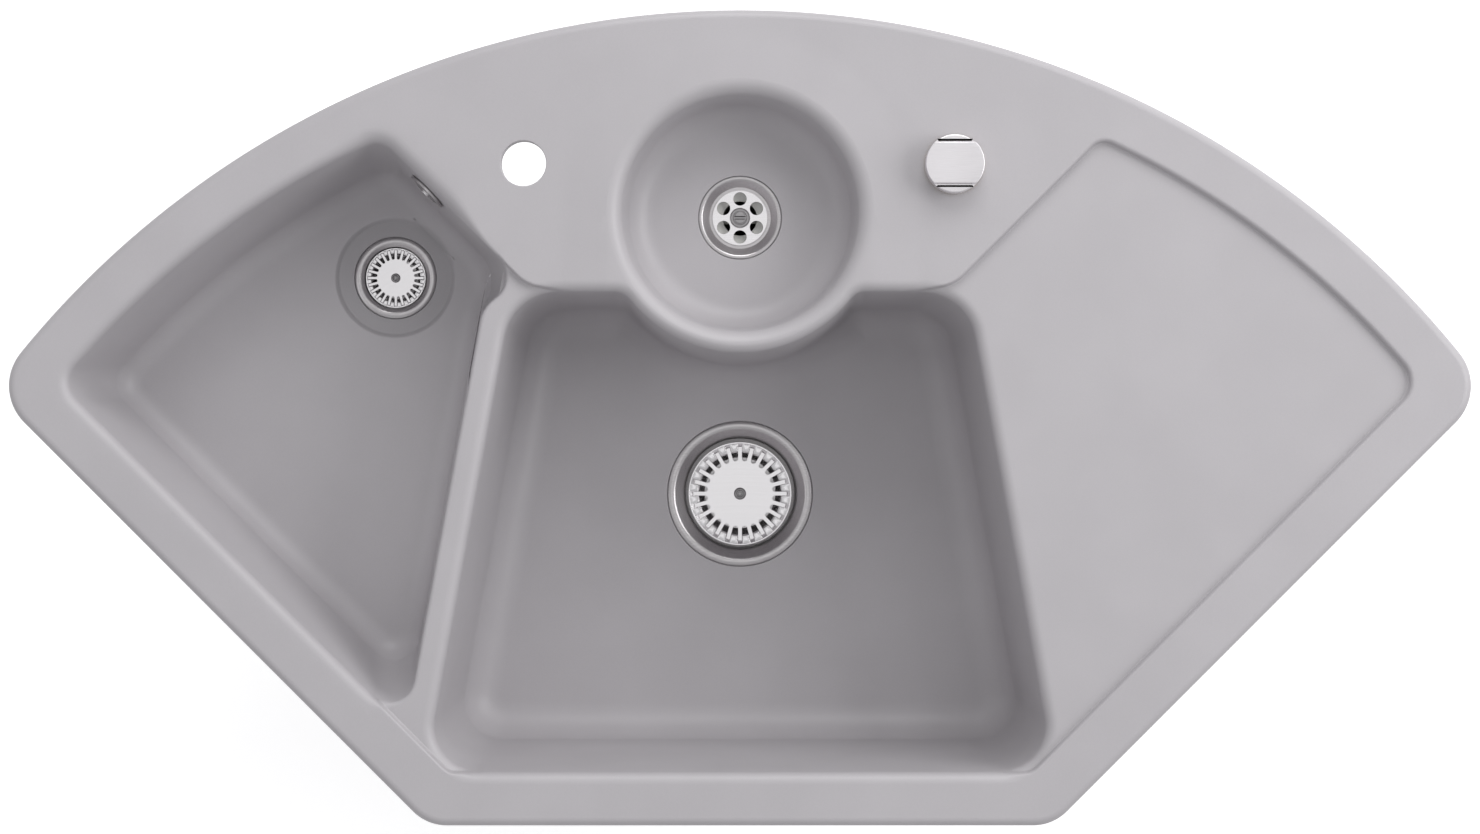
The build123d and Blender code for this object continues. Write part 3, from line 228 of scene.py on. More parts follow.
# ---------------------------------------------------------------- finishes
@dataclass(frozen=True)
class Glaze:
    """Fine fireclay with a satin grey glaze: a soft sheen over a faint speckle.

    The dish around the side waste is a shade darker: painted shade, multiplied into the glaze's colour.
    """

    name: str = "satin_glazed_fireclay"
    pale: str = "BAB7BA"
    deep: str = "B5B2B5"
    speckle_mm: float = 0.9
    cloud_mm: float = 60.0
    speckle_share: float = 0.45
    orange_peel_mm: float = 2.5
    bump: float = 0.03
    roughness: float = 0.42
    dish: Point = SIDE_WASTE
    dish_radius: float = 46.0
    dish_edge: float = 2.5
    # Painted shade: the multiplier that darkens the dish's colour.
    dish_painted_shade: str = "EBEBEB"

    def build(self) -> bpy.types.Material:
        """Make the glaze's material."""
        graph = Graph(self.name)
        place = graph.add("TexCoord").outputs["Object"]
        cloud = graph.noise(place, self.cloud_mm)
        speck = graph.noise(place, self.speckle_mm, 3.0)
        both = graph.add("Mix", {"data_type": "FLOAT"}, {0: self.speckle_share}, {2: cloud, 3: speck})
        colour = graph.ramp(both.outputs[0], [(0.35, self.deep), (0.65, self.pale)])
        # Painted shade: inside the dish around the side waste the colour is multiplied darker, fading out
        # over its edge.
        inner = (self.dish_radius - self.dish_edge) * MM
        outer = (self.dish_radius + self.dish_edge / 2) * MM
        in_dish = graph.add(
            "MapRange",
            {"interpolation_type": "SMOOTHSTEP"},
            {"From Min": inner, "From Max": outer, "To Min": 1.0, "To Max": 0.0},
            {"Value": graph.radius(place, self.dish)},
        )
        shade = graph.add(
            "Mix",
            {"data_type": "RGBA", "blend_type": "MULTIPLY"},
            {7: linear(self.dish_painted_shade)},
            {0: in_dish.outputs[0], 6: colour},
        )
        normal = graph.bump(graph.noise(place, self.orange_peel_mm), self.bump, 0.2)
        shader = graph.add(
            "BsdfPrincipled",
            values={"Roughness": self.roughness, "IOR": 1.5},
            links={"Base Color": shade.outputs[2], "Normal": normal},
        )
        return graph.finish(shader)


class Lay(Enum):
    """Direction of the fine lines that the last pass of a tool left in metal."""

    TURNED = "turned"
    DRAWN = "drawn"


@dataclass(frozen=True)
class Metal:
    """Metal with fine tool lines: a faint bump, and a slight change of colour and roughness.

    Turned lines run in circles about centre. Every finish leaves it at the part's origin, so on the wastes
    the lines aren't centred on the piece.
    """

    name: str
    pale: str
    deep: str
    roughness: float
    line_mm: float
    lay: Lay = Lay.TURNED
    bump: float = 0.05
    centre: Point = (0.0, 0.0)
    stretch: float = 0.04

    def build(self) -> bpy.types.Material:
        """Make the metal's material."""
        graph = Graph(self.name)
        place = graph.add("TexCoord").outputs["Object"]
        if self.lay is Lay.TURNED:
            along = graph.add("SeparateXYZ", links={0: place})
            size = graph.radius(place, self.centre)
            lines = graph.add("CombineXYZ", links={"X": size, "Z": along.outputs["Z"]}).outputs[0]
        else:
            stretch = {"Scale": (self.stretch, 1.0, 1.0)}
            lines = graph.add("Mapping", values=stretch, links={"Vector": place}).outputs[0]
        noise = graph.noise(lines, self.line_mm, 3.0)
        colour = graph.ramp(noise, [(0.3, self.deep), (0.7, self.pale)])
        rough = graph.add(
            "MapRange",
            values={"To Min": self.roughness * 0.8, "To Max": self.roughness * 1.25},
            links={"Value": noise},
        )
        normal = graph.bump(noise, self.bump, 0.05)
        shader = graph.add(
            "BsdfPrincipled",
            values={"Metallic": 1.0},
            links={"Base Color": colour, "Roughness": rough.outputs[0], "Normal": normal},
        )
        return graph.finish(shader)


@dataclass(frozen=True)
class Moulding:
    """Moulded plastic or rubber: an even colour with the faint grain of the mould."""

    name: str
    pale: str
    deep: str
    roughness: float
    ior: float
    grain_mm: float
    bump: float = 0.1

    def build(self) -> bpy.types.Material:
        """Make the moulding's material."""
        graph = Graph(self.name)
        place = graph.add("TexCoord").outputs["Object"]
        noise = graph.noise(place, self.grain_mm, 4.0)
        colour = graph.ramp(noise, [(0.3, self.deep), (0.7, self.pale)])
        shader = graph.add(
            "BsdfPrincipled",
            values={"Roughness": self.roughness, "IOR": self.ior},
            links={"Base Color": colour, "Normal": graph.bump(noise, self.bump, 0.1)},
        )
        return graph.finish(shader)


class Finishes:
    """Every finish of the sink, by the record's material slot, and one extra look with no slot: a darker copy
    of the polished steel that carries painted shade.
    """

    def __init__(self) -> None:
        """Make the materials."""
        # Polished stainless steel: bright, with faint turned lines.
        polished = Metal("polished_stainless_steel", "F4F2F3", "EAE8E9", 0.24, 0.5)
        # Satin stainless steel sheet of the flanges and the rosette: greyer than the polished parts.
        satin = Metal("satin_stainless_steel", "D2CFD0", "BDBABB", 0.3, 0.6)
        # Satin chromium plate of the knob: pale, with fine straight lines.
        chrome = Metal("satin_chromium_plate", "F6F3F5", "EFECEE", 0.33, 0.35, Lay.DRAWN)
        # Painted shade: a darker copy of the polished steel, its grey matched to the rivets and the screw,
        # which look darker than the sheet around them.
        painted_shade_steel = Metal("painted_shade_stainless_steel", "B4B2B3", "9C9A9B", 0.36, 0.4)
        brass = Metal("turned_brass", "C9AE6C", "B3975A", 0.3, 0.5)
        rod = Metal("drawn_steel_rod", "C4C4C6", "ABABAE", 0.35, 0.4, Lay.DRAWN)
        white = Moulding("moulded_white_polypropylene", "E9E9E5", "E3E3DF", 0.45, 1.49, 1.5)
        grey = Moulding("moulded_grey_polypropylene", "85888B", "7C7F82", 0.5, 1.49, 1.2)
        rubber = Moulding("moulded_nitrile_rubber", "2C2C2D", "222223", 0.75, 1.52, 0.8, 0.2)
        self.by_slot = {
            "glazed_fireclay": Glaze().build(),
            "polished_steel": polished.build(),
            "brushed_steel": satin.build(),
            "satin_chrome": chrome.build(),
            "brass": brass.build(),
            "steel_rod": rod.build(),
            "painted_shade_steel": painted_shade_steel.build(),
            "white_plastic": white.build(),
            "grey_plastic": grey.build(),
            "black_rubber": rubber.build(),
        }

    def dress(self, piece: bpy.types.Object, slot: str) -> None:
        """Give a piece the finish of a slot.

        Args:
            piece: The mesh object.
            slot: Name of the record's material slot, or of the extra look.
        """
        piece.data.materials.clear()
        piece.data.materials.append(self.by_slot[slot])


# ---------------------------------------------------------------- mesh helpers
@dataclass
class Surface:
    """Vertices and faces of one mesh while it is being made, in millimetres."""

    vertices: list[Vertex] = field(default_factory=list)
    faces: list[tuple[int, ...]] = field(default_factory=list)

    def row(self, points: Sequence[Vertex]) -> list[int]:
        """Add points and return their numbers."""
        start = len(self.vertices)
        self.vertices.extend((float(x), float(y), float(z)) for x, y, z in points)
        return list(range(start, start + len(points)))

    def strip(self, first: Sequence[int], second: Sequence[int], closed: bool = True) -> None:
        """Join two rows of equal length with quads.

        Args:
            first: Vertex numbers of one row.
            second: Vertex numbers of the other.
            closed: Whether the rows are rings.
        """
        count = len(first)
        for i in range(count if closed else count - 1):
            j = (i + 1) % count
            self.faces.append((first[i], first[j], second[j], second[i]))

    def rings(self, rows: Sequence[Sequence[Vertex]]) -> list[list[int]]:
        """Join many rings in order.

        Args:
            rows: Rings of equal length.

        Returns:
            The vertex numbers of each ring.
        """
        made = [self.row(points) for points in rows]
        for first, second in zip(made, made[1:]):
            self.strip(first, second)
        return made

    def build(self, name: str, sharp_degrees: float = 35.0, weld_mm: float = 0.0) -> bpy.types.Object:
        """Make the Blender object.

        Args:
            name: Name of the piece.
            sharp_degrees: Edges sharper than this keep a crease.
            weld_mm: Points nearer than this become one.

        Returns:
            The new object.
        """
        mesh = bpy.data.meshes.new(name)
        scaled = [(x * MM, y * MM, z * MM) for x, y, z in self.vertices]
        mesh.from_pydata(scaled, [], self.faces)
        if weld_mm:
            work = bmesh.new()
            work.from_mesh(mesh)
            bmesh.ops.remove_doubles(work, verts=work.verts, dist=weld_mm * MM)
            work.to_mesh(mesh)
            work.free()
        mesh.validate()
        mesh.update()
        mesh.shade_smooth()
        mesh.set_sharp_from_angle(angle=math.radians(sharp_degrees))
        piece = bpy.data.objects.new(name, mesh)
        bpy.context.scene.collection.objects.link(piece)
        return piece


def circle(x: float, y: float, radius: float, z: float, count: int) -> list[Vertex]:
    """Points of a level circle.

    Args:
        x: Centre in millimetres.
        y: Centre in millimetres.
        radius: Its radius.
        z: Its height.
        count: Number of points.

    Returns:
        The points, anticlockwise from +X.
    """
    turns = [2 * math.pi * i / count for i in range(count)]
    return [(x + radius * math.cos(t), y + radius * math.sin(t), z) for t in turns]


def rounded(profile: Profile, closed: bool = False, steps: int = 6) -> list[Point]:
    """Round the corners of a turned profile.

    Args:
        profile: Points as (radius, height) or (radius, height, rounding).
        closed: Whether the last point joins the first.
        steps: Pieces of each rounding.

    Returns:
        The plain points.
    """
    made: list[Point] = []
    count = len(profile)
    for i, point in enumerate(profile):
        inner = closed or 0 < i < count - 1
        if len(point) < 3 or not inner:
            made.append((point[0], point[1]))
            continue
        here = np.array(point[:2], float)
        to_last = np.array(profile[i - 1][:2], float) - here
        to_next = np.array(profile[(i + 1) % count][:2], float) - here
        to_last /= np.linalg.norm(to_last)
        to_next /= np.linalg.norm(to_next)
        half = math.acos(max(-1.0, min(1.0, float(to_last @ to_next)))) / 2
        reach = point[2] / math.tan(half)
        start, end = here + to_last * reach, here + to_next * reach
        middle = here + (to_last + to_next) / np.linalg.norm(to_last + to_next) * point[2] / math.sin(half)
        first = math.atan2(*(start - middle)[::-1])
        last = math.atan2(*(end - middle)[::-1])
        sweep = (last - first + math.pi) % (2 * math.pi) - math.pi
        for step in range(steps + 1):
            angle = first + sweep * step / steps
            made.append((middle[0] + point[2] * math.cos(angle), middle[1] + point[2] * math.sin(angle)))
    return made


def turned(
    surface: Surface, axis: Point, profile: Profile, count: int = HOLE_FACETS, closed: bool = False
) -> None:
    """Add a turned form about an upright axis.

    Args:
        surface: Surface to add it to.
        axis: Place of the axis in millimetres.
        profile: Points as (radius, height) or (radius, height, rounding).
        count: Facets round the axis.
        closed: Whether the profile is a closed section.
    """
    points = rounded(profile, closed)
    rows = []
    for radius, z in points:
        if radius < 1e-6:
            rows.append([surface.row([(*axis, z)])[0]] * count)
        else:
            rows.append(surface.row(circle(*axis, radius, z, count)))
    pairs = list(zip(rows, rows[1:])) + ([(rows[-1], rows[0])] if closed else [])
    for first, second in pairs:
        for i in range(count):
            j = (i + 1) % count
            corners = [first[i], first[j], second[j], second[i]]
            kept = [c for k, c in enumerate(corners) if c != corners[k - 1]]
            if len(set(kept)) >= 3:
                surface.faces.append(tuple(dict.fromkeys(kept)))


# ---------------------------------------------------------------- outlines of the ceramic
@dataclass(frozen=True)
class Straight:
    """Straight side of an outline; (a, b) is the unit normal that points into it, at distance c."""

    a: float
    b: float
    c: float

    def inset(self, distance: float) -> "Straight":
        """The same side, drawn in."""
        return Straight(self.a, self.b, self.c + distance)

    def mirrored(self) -> "Straight":
        """The same side across the middle of the sink."""
        return Straight(-self.a, self.b, self.c)

    def touch(self, centre: Point) -> Point:
        """Foot of a point on the side."""
        gap = self.a * centre[0] + self.b * centre[1] - self.c
        return centre[0] - self.a * gap, centre[1] - self.b * gap

    def between(self, start: Point, end: Point, count: int) -> list[Point]:
        """Points after the start and before the end."""
        shares = [(i + 1) / (count + 1) for i in range(count)]
        return [(start[0] + (end[0] - start[0]) * s, start[1] + (end[1] - start[1]) * s) for s in shares]


@dataclass(frozen=True)
class Curved:
    """Side of an outline on a circle about (x, y); hollow where the outline lies outside the circle."""

    x: float
    y: float
    radius: float
    hollow: bool = False

    def inset(self, distance: float) -> "Curved":
        """The same side, drawn in."""
        return Curved(self.x, self.y, self.radius + (distance if self.hollow else -distance), self.hollow)

    def touch(self, centre: Point) -> Point:
        """Nearest point of the circle."""
        dx, dy = centre[0] - self.x, centre[1] - self.y
        scale = self.radius / math.hypot(dx, dy)
        return self.x + dx * scale, self.y + dy * scale

    def between(self, start: Point, end: Point, count: int) -> list[Point]:
        """Points after the start and before the end, the short way round."""
        first = math.atan2(start[1] - self.y, start[0] - self.x)
        last = math.atan2(end[1] - self.y, end[0] - self.x)
        sweep = (last - first + math.pi) % (2 * math.pi) - math.pi
        turns = [first + sweep * (i + 1) / (count + 1) for i in range(count)]
        return [(self.x + self.radius * math.cos(t), self.y + self.radius * math.sin(t)) for t in turns]


OutlineSide = Union[Straight, Curved]


def cross(first: OutlineSide, second: OutlineSide, near: Point) -> Point:
    """Point where two sides cross, the one nearest a rough place.

    Args:
        first: One side.
        second: The other side; at least one of them is straight.
        near: Rough place of the crossing.

    Returns:
        The crossing.
    """
    if isinstance(first, Straight) and isinstance(second, Straight):
        det = first.a * second.b - second.a * first.b
        x = (first.c * second.b - second.c * first.b) / det
        return x, (first.a * second.c - second.a * first.c) / det
    line, circ = (first, second) if isinstance(first, Straight) else (second, first)
    foot = line.touch((circ.x, circ.y))
    gap = math.hypot(foot[0] - circ.x, foot[1] - circ.y)
    half = math.sqrt(max(circ.radius**2 - gap**2, 0.0))
    ends = [(foot[0] - line.b * half * way, foot[1] + line.a * half * way) for way in (1, -1)]
    return min(ends, key=lambda p: math.hypot(p[0] - near[0], p[1] - near[1]))


@dataclass(frozen=True)
class Outline:
    """Closed outline of sides in order, with a rounded corner where each side meets the next."""

    sides: tuple[OutlineSide, ...]
    corners: tuple[float, ...]
    places: tuple[Point, ...]
    floor_inset: float = 0.0
    floor_corners: tuple[float, ...] = ()
    step_mm: float = 4.0

    def corner_radius(self, index: int, inset: float) -> float:
        """Rounding of a corner of the outline drawn in by a distance.

        Args:
            index: Number of the corner.
            inset: The distance; down the wall the corners take their floor radius, then they run parallel.

        Returns:
            The radius, never under a millimetre.
        """
        top = self.corners[index]
        if top == 0:
            return 0.0
        if inset <= 0 or not self.floor_corners:
            return max(top - inset, 1.0)
        share = min(inset / self.floor_inset, 1.0)
        radius = top + (self.floor_corners[index] - top) * share
        return max(radius - max(inset - self.floor_inset, 0.0), 1.0)

    def sizes(self) -> list[tuple[int, int]]:
        """Points on each corner and on the side after it."""
        marks = self.tangents(0.0)
        counts = []
        for i, (start, end, radius, _) in enumerate(marks):
            follow = marks[(i + 1) % len(marks)][0]
            turn = 0 if radius == 0 else 10 if radius < 25 else 14
            length = math.hypot(follow[0] - end[0], follow[1] - end[1])
            counts.append((turn, max(3, int(length / self.step_mm))))
        return counts

    def tangents(self, inset: float) -> list[tuple[Point, Point, float, Point]]:
        """Start, end, radius and centre of each rounded corner.

        A corner with no radius is where a straight side runs on into a hollow one.

        Args:
            inset: How far the outline is drawn in.

        Returns:
            One row for each corner.
        """
        marks = []
        count = len(self.sides)
        for i, place in enumerate(self.places):
            radius = self.corner_radius(i, inset)
            before, after = self.sides[i], self.sides[(i + 1) % count]
            if radius == 0:
                foot = before.inset(inset).touch((after.x, after.y))
                marks.append((foot, foot, 0.0, foot))
                continue
            centre = cross(before.inset(inset + radius), after.inset(inset + radius), place)
            start, end = before.inset(inset).touch(centre), after.inset(inset).touch(centre)
            marks.append((start, end, radius, centre))
        return marks

    def ring(self, inset: float) -> list[Point]:
        """Points of the outline drawn in by a distance, always the same number.

        Args:
            inset: The distance; negative goes outwards.

        Returns:
            The points.
        """
        marks = self.tangents(inset)
        points: list[Point] = []
        for i, ((start, end, radius, centre), (turn, straight)) in enumerate(zip(marks, self.sizes())):
            points.append(start)
            if radius > 0:
                points.extend(Curved(centre[0], centre[1], radius).between(start, end, turn))
                points.append(end)
            side = self.sides[(i + 1) % len(self.sides)].inset(inset)
            points.extend(side.between(end, marks[(i + 1) % len(marks)][0], straight))
        return points


def outside_distance(points: np.ndarray, ring: Sequence[Point]) -> np.ndarray:
    """Distance of points from a closed ring, negative inside it.

    Args:
        points: Rows of x and y.
        ring: The ring's points.

    Returns:
        One distance for each point.
    """
    start = np.array(ring)
    end = np.roll(start, -1, axis=0)
    along = end - start
    length = np.maximum((along**2).sum(1), 1e-12)
    result = np.empty(len(points))
    for first in range(0, len(points), BLOCK):
        part = points[first : first + BLOCK]
        offset = part[:, None, :] - start[None]
        share = np.clip((offset * along[None]).sum(2) / length[None], 0, 1)
        gap = offset - share[:, :, None] * along[None]
        nearest = np.sqrt((gap**2).sum(2)).min(1)
        above = part[:, None, 1] < start[None, :, 1]
        crosses = above != (part[:, None, 1] < end[None, :, 1])
        rise = np.where(along[:, 1] == 0, 1e-12, along[:, 1])
        at = start[None, :, 0] + (part[:, None, 1] - start[None, :, 1]) * along[None, :, 0] / rise[None]
        inside = (crosses & (part[:, None, 0] < at)).sum(1) % 2 == 1
        result[first : first + BLOCK] = np.where(inside, -nearest, nearest)
    return result


# ---------------------------------------------------------------- forms of the ceramic's edges
def smooth(share: np.ndarray) -> np.ndarray:
    """Ease from 0 to 1."""
    t = np.clip(share, 0, 1)
    return t * t * (3 - 2 * t)


def lip_drop(outside: np.ndarray, radius: np.ndarray) -> np.ndarray:
    """How far a rolled lip has fallen.

    Args:
        outside: Distance outside the bowl's outline.
        radius: Rounding of the lip.

    Returns:
        The fall, from the radius at the outline to 0 where the lip ends.
    """
    gap = np.clip(radius - outside, 0, radius)
    return radius - np.sqrt(np.maximum(radius**2 - gap**2, 0))


def step_profile(upper: float = 3.0, lower: float = 1.75, depth: float = 6.0, pieces: int = 6) -> list[Point]:
    """Step down to the lowered field, as shares of its width and of its depth, from the top to the foot.

    Args:
        upper: Rounding of its upper edge.
        lower: Rounding of its foot.
        depth: Its depth.
        pieces: Pieces of each rounding.

    Returns:
        The step's points; the field's edge is at 0.
    """
    steep, edge_share = math.radians(80), 0.62
    points = []
    for i in range(pieces + 1):
        turn = steep * i / pieces
        points.append((upper * math.sin(turn), upper * (1 - math.cos(turn))))
    rest = depth - (upper + lower) * (1 - math.cos(steep))
    start = (points[-1][0] + rest / math.tan(steep), points[-1][1] + rest)
    foot = (start[0] + lower * math.sin(steep), start[1] + lower * (1 - math.cos(steep)))
    for i in range(pieces + 1):
        turn = steep * (pieces - i) / pieces
        points.append((foot[0] - lower * math.sin(turn), foot[1] - lower * (1 - math.cos(turn))))
    width = points[-1][0]
    return [(x / width - edge_share, z / depth) for x, z in points]


STEP_SHAPE = step_profile()
STEP_LINES = [share for share, _ in STEP_SHAPE] + [STEP_SHAPE[0][0] - 0.25, STEP_SHAPE[-1][0] + 0.2]


def step_share(inside: np.ndarray) -> np.ndarray:
    """Share of the step's depth at a distance inside the lowered field, in widths of the step."""
    return np.interp(inside, [x for x, _ in STEP_SHAPE], [z for _, z in STEP_SHAPE])


def face_areas(plan: np.ndarray, faces: Sequence[Sequence[int]]) -> np.ndarray:
    """Areas of triangles in plan."""
    corner = plan[np.array([list(face)[:3] for face in faces])]
    first, second = corner[:, 1] - corner[:, 0], corner[:, 2] - corner[:, 0]
    return np.abs(first[:, 0] * second[:, 1] - first[:, 1] * second[:, 0]) / 2


def flat_circle(x: float, y: float, radius: float, count: int) -> list[Point]:
    """Points of a circle in plan, anticlockwise from +X."""
    return [(px, py) for px, py, _ in circle(x, y, radius, 0.0, count)]


def ring_normals(ring: np.ndarray) -> np.ndarray:
    """Unit normals that point into an anticlockwise ring."""
    along = np.roll(ring, -1, axis=0) - np.roll(ring, 1, axis=0)
    along /= np.maximum(np.linalg.norm(along, axis=1), 1e-9)[:, None]
    return np.stack([-along[:, 1], along[:, 0]], axis=1)


def rounded_path(
    corners: Sequence[tuple[Point, float, Union[Curved, None]]], step_mm: float = 3.0
) -> list[Point]:
    """Closed path with rounded corners.

    Args:
        corners: Each corner's place, its rounding, and the arc to the next corner where that isn't straight.
        step_mm: Distance between points.

    Returns:
        The path's points.
    """
    count = len(corners)
    fillets = []
    for i, (place, radius, after) in enumerate(corners):
        before = corners[i - 1][2]
        last, follow = corners[i - 1][0], corners[(i + 1) % count][0]
        sides: list[OutlineSide] = []
        for arc, start, end in ((before, last, place), (after, place, follow)):
            if arc is not None:
                sides.append(arc)
                continue
            length = math.hypot(end[0] - start[0], end[1] - start[1])
            a, b = -(end[1] - start[1]) / length, (end[0] - start[0]) / length
            sides.append(Straight(a, b, a * start[0] + b * start[1]))
        turn = cross_product(last, place, follow)
        way = 1.0 if turn > 0 else -1.0
        centre = cross(sides[0].inset(way * radius), sides[1].inset(way * radius), place)
        fillets.append((sides[0].touch(centre), sides[1].touch(centre), centre, radius, sides[1]))
    points: list[Point] = []
    for i, (start, end, centre, radius, side) in enumerate(fillets):
        corner = Curved(centre[0], centre[1], radius)
        points.append(start)
        points.extend(corner.between(start, end, max(3, int(radius * 0.8))))
        points.append(end)
        follow = fillets[(i + 1) % count][0]
        length = math.hypot(follow[0] - end[0], follow[1] - end[1])
        points.extend(side.between(end, follow, max(1, int(length / step_mm))))
    return points


def cross_product(last: Point, place: Point, follow: Point) -> float:
    """Turn of a path at a corner, positive to the left."""
    return (place[0] - last[0]) * (follow[1] - place[1]) - (place[1] - last[1]) * (follow[0] - place[0])


@dataclass
class Ceramic:
    """One casting: rim, main basin, side bowl, small round bowl, drainer and deck holes, in millimetres.

    Its top is a height field over the plan, its bowls are skins between outlines, and its hidden underside
    comes from the CAD body.
    """

    half_front: float = 228.0
    front_y: float = -8.0
    arc_radius: float = 675.0
    arc_y: float = -89.0
    rim_corner: float = 35.0
    side_corner: float = 38.0
    deck: float = 22.0
    recess: float = 16.0
    rim_edge: float = 6.0
    rim_width: float = 39.0
    rear_rim: float = 37.0
    shoulder: float = 230.0
    basin_half: float = 229.8
    basin_rear: float = 380.8
    basin_angle: float = 10.34
    basin_floor: float = -168.0
    basin_draft: float = 2.2
    basin_fillet: float = 27.0
    basin_corner: float = 33.0
    basin_rear_corner: float = 39.0
    basin_lip: float = 8.0
    bulge: float = 102.0
    bulge_corner: float = 15.0
    divider: float = 19.5
    side_floor: float = -93.0
    side_draft: float = 5.5
    side_fillet: float = 17.0
    side_corner_radius: float = 18.0
    pocket_corner: float = 20.0
    pocket_start: float = 359.0
    divider_end: float = 26.0
    side_lip: float = 8.0
    shoulder_lip: float = 12.0
    divider_lip: float = 3.0
    small_y: float = SMALL_WASTE[1]
    small_radius: float = 86.0
    small_lip: float = 11.0
    small_floor: float = -38.0
    small_draft: float = 5.0
    small_fillet: float = 20.0
    collar_inner: float = 97.0
    collar_outer: float = 130.0
    collar_rise: float = 2.4
    step_arc: float = 5.0
    step_line: float = 3.2
    field_corner: float = 13.0
    merge_corner: Point = (156.0, 386.0)
    merge_rounding: float = 30.0
    merge_end: Point = (96.0, 375.0)
    hole_radius: float = 16.5
    hole_rounding: float = 0.6
    tap: Point = (-157.5, 474.0)
    knob: Point = (155.3, 472.7)
    main_seat: Profile = (
        (58.5, -168), (57.5, -168, 0.8), (57.5, -170.5), (52, -170.5), (46, -173.2), (46, -180),
    )
    side_seat: Profile = (
        (47.5, -93), (46, -93, 2), (43, -96, 2), (31.5, -96, 0.8), (31.5, -98), (27.8, -98),
        (26.4, -101.5), (26.4, -105),
    )
    small_seat: Profile = ((31.1, -38.0, 0.8), (31.1, -40), (28.2, -40), (23.8, -43.9), (23.8, -50))
    hole_foot: float = 10.0
    grid_mm: float = 6.0
    row_share: float = 0.87
    grid_x: Point = (-546, 546)
    grid_y: Point = (-6, 590)
    grid_gap: float = 3.0
    cell_mm: float = 2.0
    line_gap: float = 0.35
    line_break: float = 12.0
    rim_tolerance: float = 2.5

    def __post_init__(self) -> None:
        """Work out the outlines that the casting's rings follow."""
        root = math.sqrt(0.5)
        self.front = Straight(0, 1, self.front_y)
        self.left = Straight(root, root, (self.front_y - self.half_front) * root)
        self.right = self.left.mirrored()
        self.arc = Curved(0, self.arc_y, self.arc_radius)
        self.field_arc = self.arc.inset(self.rear_rim)
        self.shoulder_side = Straight(-root, -root, -self.shoulder * root)
        basin_front = self.front.inset(self.rim_width)
        cos, sin = math.cos(math.radians(self.basin_angle)), math.sin(math.radians(self.basin_angle))
        self.basin_left = Straight(cos, -sin, -self.basin_half * cos - basin_front.c * sin)
        basin_right = self.basin_left.mirrored()
        basin_back = Straight(0, -1, -self.basin_rear)
        bulge = Curved(0, self.small_y, self.bulge, hollow=True)
        self.divider_side = Straight(-cos, sin, self.divider - self.basin_left.c)
        self.rim_outline = Outline(
            (self.left, self.front, self.right, self.arc),
            (self.rim_corner, self.rim_corner, self.side_corner, self.side_corner),
            ((-228, -8), (228, -8), (545, 309), (-545, 309)),
            step_mm=6.0,
        )
        rear, neck = self.basin_rear_corner, self.bulge_corner
        turns = (self.basin_corner, self.basin_corner, rear, neck, neck, rear)
        self.basin_inset = (self.deck - self.basin_floor) * math.tan(math.radians(self.basin_draft))
        self.basin = Outline(
            (self.basin_left, basin_front, basin_right, basin_back, bulge, basin_back),
            turns,
            ((-230, 31), (230, 31), (166, 381), (84, 381), (-84, 381), (-166, 381)),
            self.basin_inset,
            (31.0, 31.0, 36.0, neck + self.basin_inset, neck + self.basin_inset, 36.0),
        )
        self.side_inset = (self.deck - self.side_floor) * math.tan(math.radians(self.side_draft))
        pocket_x = (self.divider_side.b * self.pocket_start - self.divider_side.c) / -self.divider_side.a
        divider_end = Curved(
            pocket_x - self.divider_side.a * self.divider_end,
            self.pocket_start - self.divider_side.b * self.divider_end,
            self.divider_end,
            hollow=True,
        )
        corner = self.side_corner_radius
        self.side = Outline(
            (
                self.left.inset(self.rim_width),
                self.divider_side,
                divider_end,
                self.shoulder_side,
                self.field_arc,
            ),
            (corner, 0.0, self.pocket_corner, corner, corner),
            ((-244, 63), (-190, 359), (-180, 410), (-262, 492), (-495, 314)),
            self.side_inset,
            (21.0, 0.0, 34.0, 21.0, 21.0),
        )
        self.basin_ring = self.basin.ring(0.0)
        self.side_ring = self.side.ring(0.0)
        self.rim_ring = self.rim_outline.ring(self.rim_edge)
        self.fields = [self.drainer_field(), self.saddle_field()]

    def drainer_field(self) -> list[Point]:
        """Edge of the lowered drainer; it enters the main basin at both ends."""
        right = self.right.inset(self.rim_width)
        front = self.front.inset(self.rim_width)
        shoulder = self.shoulder_side.mirrored()
        start = self.basin.tangents(0.0)[1][0]
        return rounded_path(
            [
                (self.merge_corner, self.merge_rounding, None),
                (self.merge_end, 1.0, None),
                ((start[0] - 40, start[1] + 40), 1.0, None),
                (start, 4.0, None),
                (cross(front, right, start), self.field_corner, None),
                (cross(right, self.field_arc, (490, 310)), 20.0, self.field_arc),
                (cross(shoulder, self.field_arc, (262, 492)), self.field_corner, None),
            ]
        )

    def saddle_field(self) -> list[Point]:
        """Edge of the lowered strip over the divider; it enters both bowls."""
        left = self.left.inset(self.rim_width)
        start = self.basin.tangents(0.0)[0][1]
        side = self.side.tangents(0.0)
        low, high = side[0][0], side[2][1]
        return rounded_path(
            [
                (start, 4.0, None),
                ((start[0] + 40, start[1] + 40), 1.0, None),
                ((-self.merge_end[0], self.merge_end[1]), 1.0, None),
                ((-self.merge_corner[0], self.merge_corner[1]), self.merge_rounding, None),
                (high, 1.0, None),
                ((high[0] - 25, high[1] - 30), 1.0, None),
                ((low[0] + 6, low[1] + 40), 1.0, None),
                (low, 4.0, None),
                (cross(self.front.inset(self.rim_width), left, start), self.field_corner, None),
            ]
        )

    def step_width(self, points: np.ndarray) -> np.ndarray:
        """Width of the step down to the lowered field: soft along the arc, crisp on the straight sides."""
        radius = np.hypot(points[:, 0], points[:, 1] - self.arc_y)
        share = smooth((radius - self.field_arc.radius + 30) / 24) * (points[:, 0] > 0)
        return self.step_line + (self.step_arc - self.step_line) * share

